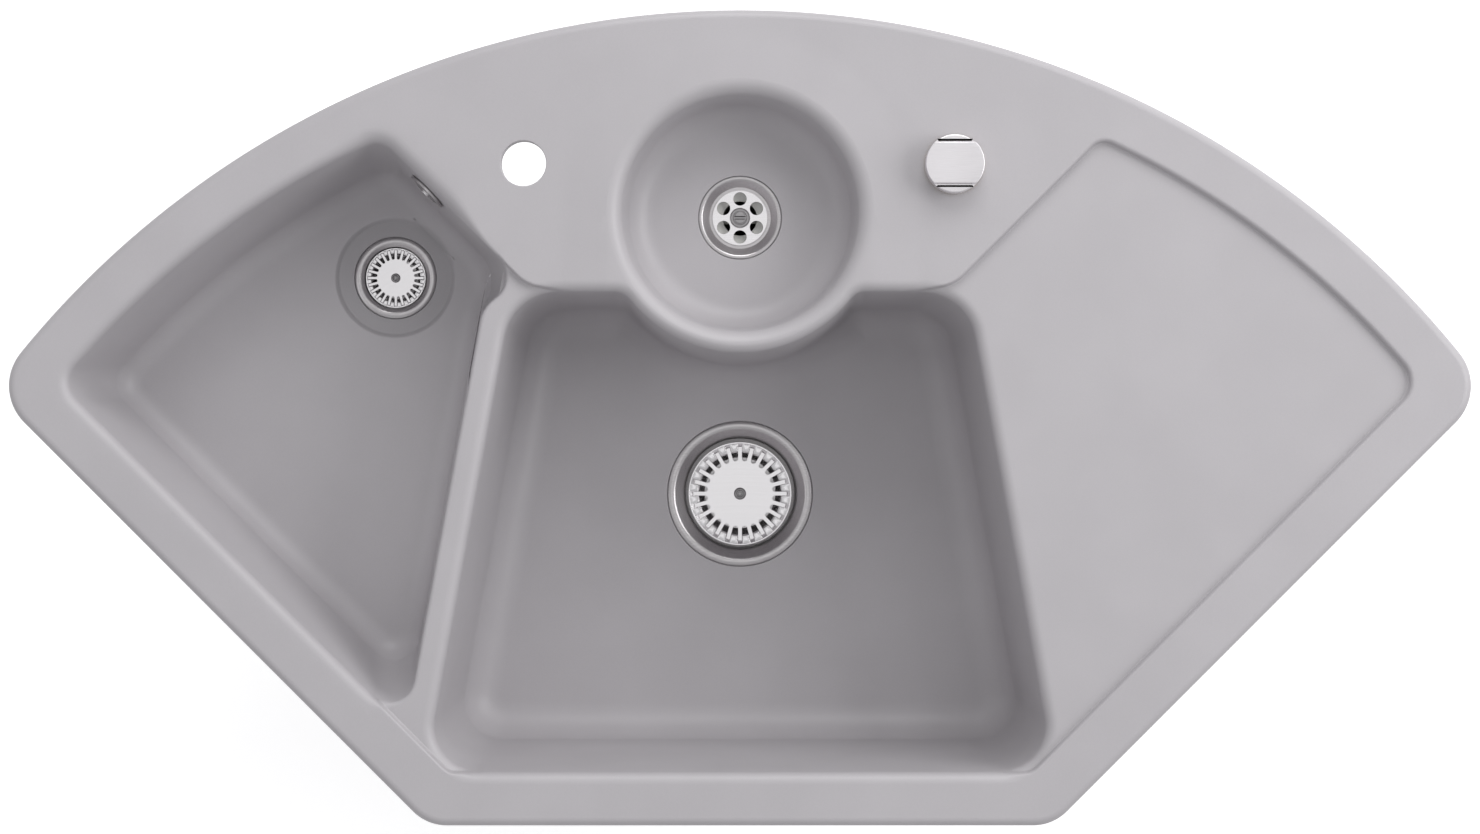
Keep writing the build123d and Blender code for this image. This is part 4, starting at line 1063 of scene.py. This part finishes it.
    def lip_radius(self, points: np.ndarray) -> np.ndarray:
        """Rounding of the side bowl's lip at each point: crisp on the divider, wide on the shoulder."""
        divider, shoulder = self.divider_side, self.shoulder_side
        from_divider = points[:, 0] * divider.a + points[:, 1] * divider.b - divider.c
        from_shoulder = points[:, 0] * shoulder.a + points[:, 1] * shoulder.b - shoulder.c
        wide = self.side_lip + (self.shoulder_lip - self.side_lip) * (1 - smooth(from_shoulder / 40))
        return self.divider_lip + (wide - self.divider_lip) * smooth(from_divider / 40)

    def level(self, points: np.ndarray) -> np.ndarray:
        """Height of the deck without its bowls.

        Args:
            points: Rows of x and y.

        Returns:
            One height for each point.
        """
        width = self.step_width(points)
        drop = np.zeros(len(points))
        for edge in self.fields:
            drop = np.maximum(drop, step_share(-outside_distance(points, edge) / width))
        reach = np.where(
            points[:, 1] > self.small_y,
            np.hypot(points[:, 0], points[:, 1] - self.small_y),
            np.abs(points[:, 0]),
        )
        near = (points[:, 1] > self.basin_rear - 60) & (drop < 0.01)
        rise = np.clip((self.collar_outer - reach) / (self.collar_outer - self.collar_inner), 0, 1) * near
        return self.deck - drop * (self.deck - self.recess) + rise * self.collar_rise

    def height(self, points: np.ndarray) -> np.ndarray:
        """Height of the ceramic's upper face outside its bowls.

        Args:
            points: Rows of x and y.

        Returns:
            One height for each point.
        """
        small = np.hypot(points[:, 0], points[:, 1] - self.small_y) - self.small_radius
        return (
            self.level(points)
            - lip_drop(outside_distance(points, self.basin_ring), np.full(len(points), self.basin_lip))
            - lip_drop(outside_distance(points, self.side_ring), self.lip_radius(points))
            - lip_drop(small, np.full(len(points), self.small_lip))
        )

    def clearance(self, points: np.ndarray) -> np.ndarray:
        """Distance of points from every edge of the upper face; negative in a bowl or a hole."""
        holes = [
            np.hypot(points[:, 0] - x, points[:, 1] - y) - self.hole_radius - self.hole_rounding
            for x, y in (self.tap, self.knob)
        ]
        return np.minimum.reduce(
            [
                outside_distance(points, self.basin_ring),
                outside_distance(points, self.side_ring),
                np.hypot(points[:, 0], points[:, 1] - self.small_y) - self.small_radius,
                -outside_distance(points, self.rim_ring),
                *holes,
            ]
        )

    def plan_lines(self) -> list[tuple[list[Point], bool]]:
        """Lines that the upper face's triangles follow, and whether each is an edge of the face."""
        lines: list[tuple[list[Point], bool]] = [
            (self.rim_ring, True),
            (self.basin_ring, True),
            (self.side_ring, True),
            (flat_circle(0, self.small_y, self.small_radius, BOWL_FACETS), True),
        ]
        hole = self.hole_radius + self.hole_rounding
        for x, y in (self.tap, self.knob):
            lines.append((flat_circle(x, y, hole, HOLE_FACETS), True))
            lines.append((flat_circle(x, y, hole + 0.8, HOLE_FACETS), False))
        lines.append((self.rim_outline.ring(self.rim_edge + 1.0), False))
        turns = [math.radians(t) for t in (6, 13, 21, 30, 40, 51, 63, 76, 90)]
        for turn in turns:
            share = 1 - math.cos(turn)
            lines.append((self.basin.ring(-self.basin_lip * share), False))
            small = self.small_radius + self.small_lip * share
            lines.append((flat_circle(0, self.small_y, small, BOWL_FACETS), False))
            ring = np.array(self.side_ring)
            out = ring - ring_normals(ring) * (self.lip_radius(ring) * share)[:, None]
            lines.append(([tuple(p) for p in out], False))
        lines.append((self.basin.ring(-self.basin_lip - 1.0), False))
        for edge in self.fields:
            ring = np.array(edge)
            normal = ring_normals(ring)
            width = self.step_width(ring)[:, None]
            for share in STEP_LINES:
                lines.append(([tuple(p) for p in ring + normal * width * share], False))
        for radius in (self.collar_inner + 0.6, self.collar_outer):
            half = flat_circle(0, self.small_y, radius, BOWL_FACETS)[: BOWL_FACETS // 2 + 1]
            foot = [(radius, self.basin_rear - 30 + 8 * i) for i in range(10)]
            lines.append((foot + half + [(-x, y) for x, y in reversed(foot)], False))
        return lines

    def deck_mesh(self, surface: Surface) -> None:
        """Add the upper face: every triangle of the plan outside the bowls and holes, at its height."""
        points: list[Point] = []
        edges: list[tuple[int, int]] = []
        for line, closed in self.plan_lines():
            start = len(points)
            if closed:
                points.extend(line)
                edges.extend((start + i, start + (i + 1) % len(line)) for i in range(len(line)))
                continue
            free = self.clearance(np.array(line)) > self.line_gap
            place = [start + int(free[:i].sum()) if ok else -1 for i, ok in enumerate(free)]
            points.extend(tuple(p) for p, ok in zip(line, free) if ok)
            for i in range(len(line)):
                j = (i + 1) % len(line)
                length = math.hypot(line[i][0] - line[j][0], line[i][1] - line[j][1])
                if place[i] >= 0 and place[j] >= 0 and length < self.line_break:
                    edges.append((place[i], place[j]))
        grid = np.array(
            [
                (x + (row % 2) * self.grid_mm / 2, y)
                for row, y in enumerate(np.arange(*self.grid_y, self.grid_mm * self.row_share))
                for x in np.arange(*self.grid_x, self.grid_mm)
            ]
        )
        grid = grid[self.clearance(grid) > self.grid_gap]
        known = np.array(points)
        cells = {(int(x // self.cell_mm), int(y // self.cell_mm)) for x, y in known}
        steps = (-1, 0, 1)
        for x, y in grid:
            i, j = int(x // self.cell_mm), int(y // self.cell_mm)
            if not any((i + a, j + b) in cells for a in steps for b in steps):
                points.append((x, y))
        made, _, faces, *_ = delaunay_2d_cdt([Vector(p) for p in points], edges, [], 0, 0.01)
        plan = np.array([tuple(v) for v in made])
        middles = np.array([plan[list(face)].mean(0) for face in faces])
        inside = (self.clearance(middles) > 0) & (face_areas(plan, faces) > SLIVER_MM2)
        heights = self.height(plan)
        numbers = surface.row([(x, y, z) for (x, y), z in zip(plan, heights)])
        surface.faces.extend(tuple(numbers[i] for i in face) for face, ok in zip(faces, inside) if ok)

    def rim_mesh(self, surface: Surface) -> None:
        """Add the rim's rounded edge and its upright face down to the worktop."""
        rows = []
        for step in range(9):
            turn = math.radians(90 * step / 8)
            inset = self.rim_edge * (1 - math.sin(turn))
            z = self.deck - self.rim_edge * (1 - math.cos(turn))
            rows.append([(x, y, z) for x, y in self.rim_outline.ring(inset)])
        rows.append([(x, y, 0.0) for x, y in self.rim_outline.ring(0.0)])
        surface.rings(rows)

    def bowl_mesh(
        self,
        surface: Surface,
        outline: Outline,
        floor: float,
        draft: float,
        fillet: float,
        waste: Point,
        hole_radius: float,
    ) -> None:
        """Add a bowl's wall, the rounding at its foot and its floor.

        Args:
            surface: Surface to add them to.
            outline: The bowl's outline.
            floor: Height of its floor.
            draft: Slope of its wall in degrees.
            fillet: Rounding at the foot.
            waste: The waste's place.
            hole_radius: Radius of its hole in the floor.
        """
        slope = math.radians(draft)
        foot = outline.floor_inset - fillet * math.tan(slope) * (1 - math.sin(slope))
        foot_z = floor + fillet * (1 - math.sin(slope))
        top = np.array(outline.ring(0.0))
        top_z = self.height(top)
        rows = []
        for share in (0, 0.04, 0.15, 0.4, 0.7, 0.95, 1.0):
            ring = outline.ring(foot * share)
            rows.append([(x, y, z + (foot_z - z) * share) for (x, y), z in zip(ring, top_z)])
        reach = fillet * (1 - math.sin(slope)) / math.cos(slope)
        for step in range(1, 15):
            turn = slope + (math.pi / 2 - slope) * step / 14
            inset = outline.floor_inset + reach - fillet * math.cos(turn)
            z = floor + fillet * (1 - math.sin(turn))
            rows.append([(x, y, z) for x, y in outline.ring(inset)])
        rows.append([(x, y, floor) for x, y in outline.ring(outline.floor_inset + reach + 0.8)])
        made = surface.rings(rows)
        last = [surface.vertices[i][:2] for i in made[-1]]
        hole = flat_circle(*waste, hole_radius, HOLE_FACETS)
        close = flat_circle(*waste, hole_radius + 0.8, HOLE_FACETS)
        count = len(last)
        edges = [(i, (i + 1) % count) for i in range(count)]
        edges += [(count + i, count + (i + 1) % HOLE_FACETS) for i in range(HOLE_FACETS)]
        flat, _, faces, *_ = delaunay_2d_cdt([Vector(p) for p in last + hole + close], edges, [], 0, 0.001)
        plan = np.array([tuple(v) for v in flat])
        middles = np.array([plan[list(face)].mean(0) for face in faces])
        beyond_hole = np.hypot(*(middles - waste).T) > hole_radius * 0.999
        kept = (outside_distance(middles, last) < 0) & beyond_hole
        numbers = surface.row([(x, y, floor) for x, y in plan])
        surface.faces.extend(tuple(numbers[i] for i in face) for face, ok in zip(faces, kept) if ok)

    def underside(self, surface: Surface, body: bpy.types.Object) -> None:
        """Add the CAD body's hidden faces, those with ceramic above them, but none near the rim's outer face.

        Known fault: small dark dashes still show low on the rim's outer face at its corners.

        Args:
            surface: Surface to add them to.
            body: The CAD node.
        """
        mesh = body.data
        corners = [v.co.copy() for v in mesh.vertices]
        polygons = [tuple(p.vertices) for p in mesh.polygons]
        tree = BVHTree.FromPolygons(corners, polygons)
        up = Vector((0, 0, 1))
        middles = np.array([tuple(polygon.center / MM) for polygon in mesh.polygons])
        from_rim = outside_distance(middles[:, :2], self.rim_outline.ring(0.0))
        on_rim = (from_rim > -self.rim_tolerance) & (middles[:, 2] > 0.1)
        for polygon, face, outer in zip(mesh.polygons, polygons, on_rim):
            start = polygon.center + polygon.normal * 0.5 * MM
            if not outer and tree.ray_cast(start, up)[0] is not None:
                surface.faces.append(tuple(surface.row([tuple(corners[i] / MM) for i in face])))

    def build(self, finishes: Finishes) -> bpy.types.Object:
        """Make the casting and put it in place of the CAD body.

        Args:
            finishes: The finishes.

        Returns:
            The casting.
        """
        surface = Surface()
        self.deck_mesh(surface)
        self.rim_mesh(surface)
        for outline, floor, draft, fillet, waste, seat in (
            (self.basin, self.basin_floor, self.basin_draft, self.basin_fillet, MAIN_WASTE, self.main_seat),
            (self.side, self.side_floor, self.side_draft, self.side_fillet, SIDE_WASTE, self.side_seat),
        ):
            self.bowl_mesh(surface, outline, floor, draft, fillet, waste, seat[0][0])
        turned(surface, MAIN_WASTE, self.main_seat)
        turned(surface, SIDE_WASTE, self.side_seat)
        top_z = self.deck + self.collar_rise - self.small_lip
        slope = math.tan(math.radians(self.small_draft))
        floor_radius = self.small_radius - (top_z - self.small_floor) * slope
        wall = [(self.small_radius, top_z), (floor_radius, self.small_floor, self.small_fillet)]
        turned(surface, SMALL_WASTE, [*wall, *self.small_seat], BOWL_FACETS)
        rounding = self.hole_rounding
        edge = [(self.hole_radius + rounding, self.deck), (self.hole_radius, self.deck, rounding * 0.99)]
        for place in (self.tap, self.knob):
            turned(surface, place, [*edge, (self.hole_radius, self.hole_foot)])
        self.underside(surface, frame["nodes"]["sink_body"])
        piece = surface.build("ceramic_body", weld_mm=0.01)
        finishes.dress(piece, "glazed_fireclay")
        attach(piece, "sink")
        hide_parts("sink_body")
        return piece


# ---------------------------------------------------------------- metalwork
def prism(
    surface: Surface,
    outline: Sequence[Point],
    lows: Sequence[float],
    high: float,
    bevel: float,
    steps: int = 4,
) -> None:
    """Add an upright block with a rounded upper edge.

    Args:
        surface: Surface to add it to.
        outline: Its outline, anticlockwise.
        lows: Height of its foot at each point of the outline.
        high: Height of its top.
        bevel: Rounding of the upper edge.
        steps: Pieces of the rounding.
    """
    ring = np.array(outline)
    normal = ring_normals(ring)
    rows = [[(x, y, z) for (x, y), z in zip(ring, lows)]]
    for step in range(steps + 1):
        turn = math.pi / 2 * step / steps
        drawn = ring + normal * bevel * (1 - math.cos(turn))
        rows.append([(x, y, high - bevel * (1 - math.sin(turn))) for x, y in drawn])
    made = surface.rings(rows)
    surface.faces.append(tuple(reversed(made[0])))
    surface.faces.append(tuple(made[-1]))


def segment(x: float, y: float, radius: float, low: float, high: float, count: int = 24) -> list[Point]:
    """Part of a disc between two levels of y.

    Args:
        x: Centre of the disc.
        y: Centre of the disc.
        radius: Its radius.
        low: Lower chord, measured from the centre.
        high: Upper chord, measured from the centre.
        count: Pieces of each arc.

    Returns:
        The outline, anticlockwise.
    """
    first, last = math.asin(max(low / radius, -1.0)), math.asin(min(high / radius, 1.0))
    turns = [first + (last - first) * i / count for i in range(count + 1)]
    right = [(x + radius * math.cos(t), y + radius * math.sin(t)) for t in turns]
    left = [(2 * x - px, py) for px, py in reversed(right)]
    chords = [right[0], right[-1]]
    return right + [p for p in left if min(math.hypot(p[0] - c[0], p[1] - c[1]) for c in chords) > 1e-6]


@dataclass(frozen=True)
class Waste:
    """Flange of one waste, in millimetres and degrees.

    From the lip's edge it rises inwards on a curve of radius outer to the crown, turns down on one of radius
    bend into a cone of slope steep, and reaches the cup at the radius inner.
    """

    name: str
    place: Point
    lip: float
    lip_top: float
    crown: float
    outer: float
    inner: float
    bend: float
    steep: float
    cup: tuple[Point, ...]
    sheet: float = 1.2
    edge: float = 0.15

    def bent(self, radius: float, way: int, turns: Sequence[float]) -> list[Point]:
        """Curve that starts level at the crown.

        Args:
            radius: Its radius.
            way: 1 outwards, -1 inwards.
            turns: Angles from the crown.

        Returns:
            Its points.
        """
        crown, top = self.crown, self.lip_top
        return [(crown + way * radius * math.sin(t), top - radius * (1 - math.cos(t))) for t in turns]

    def flange(self) -> list[Point]:
        """Closed section: a lip that falls away outwards, a crown and a steep cone down to the cup."""
        top, steep = self.lip_top, math.radians(self.steep)
        fall = math.asin((self.lip - self.edge - self.crown) / self.outer)
        outside = self.bent(self.outer, 1, [fall * (1 - i / 8) for i in range(8)])
        inside = self.bent(self.bend, -1, [steep * i / 6 for i in range(7)])
        foot_radius, foot_top = inside[-1]
        foot = (self.inner, foot_top - (foot_radius - self.inner) * math.tan(steep))
        cup_outer = self.cup[-1][0]
        under = foot[1] + (cup_outer - self.inner) * math.tan(steep) - self.sheet / math.cos(steep)
        seat = top - self.sheet
        return [
            (cup_outer, under),
            (cup_outer + (seat - under) / math.tan(steep), seat),
            (self.lip, seat),
            (self.lip, outside[0][1] - self.edge),
            *outside,
            *inside,
            foot,
            *self.cup,
        ]


def publish(
    surface: Surface, name: str, slot: str, body: str, finishes: Finishes, *nodes: str, look: str = ""
) -> bpy.types.Object:
    """Make a piece of metalwork and give it its finish, its body and the nodes that it stands for.

    Args:
        surface: Its shape.
        name: Its name.
        slot: The record's material slot.
        body: The body that it rides on.
        finishes: The finishes.
        *nodes: CAD nodes that it replaces.
        look: Finish to use instead of the slot's own.

    Returns:
        The piece.
    """
    piece = surface.build(name, sharp_degrees=30.0, weld_mm=0.001)
    finishes.dress(piece, look or slot)
    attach(piece, body)
    if nodes:
        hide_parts(*nodes)
    LOG.info("%s: %d vertices", name, len(piece.data.vertices))
    return piece


@dataclass
class Metalwork:
    """Flanges, pads between strainer fingers, rivets, the small waste's screw and ring, and the knob."""

    fingers: int = 24
    pad_gap: float = 0.45
    pad_sink: float = 0.1
    pad_bevel: float = 0.25
    rivet_radius: float = 4.8
    main: Waste = Waste(
        "main", MAIN_WASTE, 57.0, -168.3, 53.7, 8.0, 43.6, 5.0, 37.0,
        ((43.6, -206.1), (17.0, -206.1), (17.0, -207.3), (44.8, -207.3)),
    )
    side: Waste = Waste(
        "side", SIDE_WASTE, 31.0, -95.8, 27.9, 5.5, 24.0, 3.0, 36.0,
        ((24.0, -120.6), (17.0, -120.6), (17.0, -121.8), (25.2, -121.8)),
    )
    small: Waste = Waste(
        "small", SMALL_WASTE, 30.6, -37.8, 29.4, 5.0, 22.9, 2.5, 40.0,
        (
            (21.0, -42.5),
            (20.8, -41.7),
            (19.4, -41.7),
            (19.4, -51.8),
            (20.6, -51.8),
            (20.6, -43.7),
            (23.0, -43.7),
        ),
        1.0,
    )

    def flanges(self, finishes: Finishes) -> None:
        """Make the three flanges."""
        for waste in (self.main, self.side, self.small):
            surface = Surface()
            turned(surface, waste.place, waste.flange(), FLANGE_FACETS, closed=True)
            node = waste.name + "_flange"
            publish(surface, node + "_lip", "brushed_steel", "sink", finishes, node)

    def pads(
        self,
        finishes: Finishes,
        waste: Waste,
        rim: Point,
        throat: Point,
        reach: Point,
        finger: float,
        top: float,
    ) -> None:
        """Make the bright pads between a plate's fingers, which stand on the basket's cone.

        Args:
            finishes: The finishes.
            waste: The waste.
            rim: Radius and height of the basket's rim.
            throat: Radius and height of the cone's foot.
            reach: Inner and outer radius of the pads.
            finger: Width of the plate's fingers.
            top: Height of the pads.
        """
        surface = Surface()
        x, y = waste.place
        step = 2 * math.pi / self.fingers
        for index in range(self.fingers):
            middle = step * (index + 0.5)
            outline = []
            for radius, way in ((reach[0], -1), (reach[1], 1)):
                half = step / 2 - math.asin((finger / 2 + self.pad_gap) / radius)
                for i in range(5):
                    turn = middle + way * half * (i / 2 - 1)
                    outline.append((x + radius * math.cos(turn), y + radius * math.sin(turn)))
            sizes = [math.hypot(px - x, py - y) for px, py in outline]
            lows = [np.interp(r, (throat[0], rim[0]), (throat[1], rim[1])) - self.pad_sink for r in sizes]
            prism(surface, outline, lows, top, self.pad_bevel, 2)
        publish(surface, waste.name + "_basket_pads", "polished_steel", waste.name + "_basket", finishes)

    def rivet(
        self, finishes: Finishes, waste: Waste, radius: float, seat: float, foot: float, floor: float
    ) -> None:
        """Make a rivet: a rolled head around a sunk ring and a bright middle.

        Args:
            finishes: The finishes.
            waste: The waste.
            radius: Radius of its head.
            seat: Height of the plate's upper face.
            foot: Radius of its foot.
            floor: Height of its lower end.
        """
        surface = Surface()
        size = radius / self.rivet_radius
        middle, groove, crest, stem, collar = seat + 0.95, seat + 0.1, seat + 1.2, 2.4, floor + 1.0
        profile = [
            (0.0, middle),
            (1.15 * size, middle, 0.25),
            (1.7 * size, groove),
            (2.2 * size, groove),
            (3.1 * size, crest, 0.3),
            (3.6 * size, crest, 0.3),
            (radius, seat + 0.05),
            (radius, seat),
            (stem, seat),
            (stem, collar),
            (foot, collar),
            (foot, floor),
            (0.0, floor),
        ]
        turned(surface, waste.place, list(reversed(profile)), 64)
        node, body = waste.name + "_basket_rivet", waste.name + "_basket"
        # The head takes the darker copy of the polished steel, which carries painted shade.
        publish(surface, node + "_head", "polished_steel", body, finishes, node, look="painted_shade_steel")

    def screw(self, finishes: Finishes) -> None:
        """Make the slotted screw that holds the small waste's plate, with its grooved collar."""
        surface = Surface()
        seat, slot_floor, head_top, shank_end = -40.7, -39.7, -38.3, -64.7
        shank, head, half_slot = 3.0, 4.35, 0.75
        crest, groove = seat + 0.9, seat + 0.3
        profile = [
            (0.0, shank_end),
            (shank, shank_end),
            (shank, seat),
            (7.6, seat),
            (7.6, crest, 0.2),
            (7.2, crest, 0.1),
            (6.6, groove, 0.1),
            (5.4, groove, 0.1),
            (4.8, crest, 0.1),
            (0.0, slot_floor),
        ]
        turned(surface, SMALL_WASTE, profile, SMALL_FACETS)
        for low, high in ((half_slot, head), (-head, -half_slot)):
            outline = segment(*SMALL_WASTE, head, low, high)
            prism(surface, outline, [slot_floor - 0.2] * len(outline), head_top, 0.55)
        name = "small_waste_screw"
        # The head takes the darker copy of the polished steel, which carries painted shade.
        publish(surface, name + "_head", "polished_steel", "sink", finishes, name, look="painted_shade_steel")

    def inlet(self, finishes: Finishes) -> None:
        """Make the pale ring under the small waste's plate, invented to match the grey seen in its holes."""
        surface = Surface()
        inner, outer, low, high = 12.8, 19.3, -49.4, -46.4
        section = [(inner, low), (outer, low), (outer, high), (inner, high - 1.2, 0.4)]
        turned(surface, SMALL_WASTE, section, SMALL_FACETS, closed=True)
        publish(surface, "small_waste_inlet", "white_plastic", "sink", finishes)

    def knob(self, finishes: Finishes) -> None:
        """Make the knob: a round base, a bar across it and a low crescent on each side of the bar."""
        surface = Surface()
        place, radius = (155.3, 472.8), 21.2
        bottom, groove, shelf, top = 24.5, 35.6, 36.6, 40.5
        bar_front, bar_rear, front_crescent, rear_crescent = -14.7, 15.2, -16.2, 16.7
        base = [(0, bottom), (radius, bottom, 0.3), (radius, groove, 0.2), (0, groove)]
        turned(surface, place, base, FLANGE_FACETS)
        bar = segment(*place, radius, bar_front, bar_rear, 40)
        prism(surface, bar, [bottom + 0.4] * len(bar), top, 0.6)
        for low, high in ((rear_crescent, radius), (-radius, front_crescent)):
            crescent = segment(*place, radius, low, high)
            prism(surface, crescent, [groove - 0.5] * len(crescent), shelf, 1.0)
        publish(surface, "knob_cap", "satin_chrome", "knob", finishes, "knob")

    def build(self, finishes: Finishes) -> None:
        """Make every piece.

        Args:
            finishes: The finishes.
        """
        self.flanges(finishes)
        self.pads(finishes, self.main, (40.6, -171.3), (32.5, -175.3), (33.4, 40.2), 3.0, -171.45)
        self.pads(finishes, self.side, (22.8, -97.8), (18.6, -100.3), (18.9, 22.5), 1.7, -97.6)
        self.rivet(finishes, self.main, 4.8, -171.93, 4.8, -207.3)
        self.rivet(finishes, self.side, 3.6, -97.41, 3.6, -121.8)
        self.screw(finishes)
        self.inlet(finishes)
        self.knob(finishes)


# ---------------------------------------------------------------- fittings that keep their CAD form
@dataclass
class Fittings:
    """CAD pieces that are shown as they are, each with the finish of its slot."""

    smooth_degrees: float = 35.0

    def build(self, finishes: Finishes) -> list[bpy.types.Object]:
        """Dress every CAD node that nothing replaces.

        Args:
            finishes: The finishes.

        Returns:
            The dressed nodes.
        """
        slots = {row["node"]: row["material_slot"] for row in frame["record"]["subparts"]}
        made = []
        for name, node in frame["nodes"].items():
            if name in REPLACED:
                continue
            finishes.dress(node, slots[name])
            node.data.shade_smooth()
            node.data.set_sharp_from_angle(angle=math.radians(self.smooth_degrees))
            made.append(node)
        return made


# ---------------------------------------------------------------- studio
@dataclass
class Studio:
    """Pale floor, soft lights and the camera that looks straight down."""

    camera_mm: tuple[float, float, float] = (0.0, 289.6, 2212.0)
    lens_mm: float = 73.3
    floor_z: float = -354.0
    floor_colour: str = "F2F2F2"
    floor_glow: float = 0.5
    floor_half: float = 6000.0
    floor_grain_mm: float = 3.0
    sky: str = "F0F0F2"
    sky_strength: float = 0.6
    # Name, place in metres, side of the square in metres, power in watts, and the point that it faces.
    lamps: tuple[tuple[str, Vertex, float, float, Vertex], ...] = (
        ("right_softbox", (2.2, 0.7, 1.6), 1.6, 27.3, (0.0, 0.3, 0.0)),
        ("rear_softbox", (0.2, 2.6, 1.7), 1.6, 26.5, (0.0, 0.3, 0.0)),
        ("corner_softbox", (1.6, 2.2, 1.0), 1.4, 9.5, (0.0, 0.3, 0.0)),
        ("left_softbox", (-2.0, 0.2, 1.7), 1.6, 3.5, (0.0, 0.3, 0.0)),
        ("roof_softbox", (-0.1, 0.5, 3.2), 1.6, 3.2, (-0.1, 0.5, 0.0)),
    )

    def floor(self) -> None:
        """Lay the floor, which stays pale for the camera and keeps the shadow."""
        surface = Surface()
        half = self.floor_half
        corners = [(-half, -half), (half, -half), (half, half), (-half, half)]
        surface.faces.append(tuple(surface.row([(x, y, self.floor_z) for x, y in corners])))
        floor = surface.build("studio_floor")
        graph = Graph("studio_paper")
        place = graph.add("TexCoord").outputs["Object"]
        grain = graph.noise(place, self.floor_grain_mm)
        colour = graph.ramp(grain, [(0.3, self.floor_colour), (0.7, "F4F4F4")])
        seen = graph.add("LightPath").outputs["Is Camera Ray"]
        glow = graph.add("Math", {"operation": "MULTIPLY"}, {1: self.floor_glow}, {0: seen})
        shader = graph.add(
            "BsdfPrincipled",
            values={"Roughness": 0.9, "Emission Color": linear("FFFFFF")},
            links={"Base Color": colour, "Emission Strength": glow.outputs[0]},
        )
        floor.data.materials.append(graph.finish(shader))

    def light(self, name: str, at: Vertex, size: float, watts: float, aim: Vertex) -> None:
        """Hang a soft light.

        Args:
            name: Its name.
            at: Its place in metres.
            size: Side of its square in metres.
            watts: Its power.
            aim: The point that it faces.
        """
        lamp = bpy.data.lights.new(name, "AREA")
        lamp.size = size
        lamp.energy = watts
        holder = bpy.data.objects.new(name, lamp)
        holder.location = at
        holder.rotation_euler = (Vector(aim) - Vector(at)).to_track_quat("-Z", "Y").to_euler()
        bpy.context.scene.collection.objects.link(holder)

    def camera(self) -> None:
        """Place the camera over the middle of the sink."""
        lens = bpy.data.cameras.new("camera")
        lens.lens = self.lens_mm
        lens.sensor_width = SENSOR_MM
        holder = bpy.data.objects.new("camera", lens)
        holder.location = [v * MM for v in self.camera_mm]
        bpy.context.scene.collection.objects.link(holder)
        bpy.context.scene.camera = holder

    def build(self) -> None:
        """Set up floor, lights, sky and camera."""
        self.floor()
        for lamp in self.lamps:
            self.light(*lamp)
        world = bpy.data.worlds.new("studio_sky")
        world.use_nodes = True
        sky = world.node_tree.nodes["Background"]
        sky.inputs["Color"].default_value = linear(self.sky)
        sky.inputs["Strength"].default_value = self.sky_strength
        bpy.context.scene.world = world
        bpy.context.scene.view_settings.view_transform = "Standard"
        self.camera()


def write_sizes() -> None:
    """Bring the scene's placements up to date; no sizes are written."""
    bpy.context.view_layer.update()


def main() -> None:
    """Build the sink piece by piece and report each one."""
    finishes = Finishes()
    casting = Ceramic().build(finishes)
    LOG.info("ceramic body: %d vertices", len(casting.data.vertices))
    Metalwork().build(finishes)
    fittings = Fittings().build(finishes)
    LOG.info("fittings kept from the CAD: %d", len(fittings))
    Studio().build()
    write_sizes()


if __name__ == "__main__":
    main()
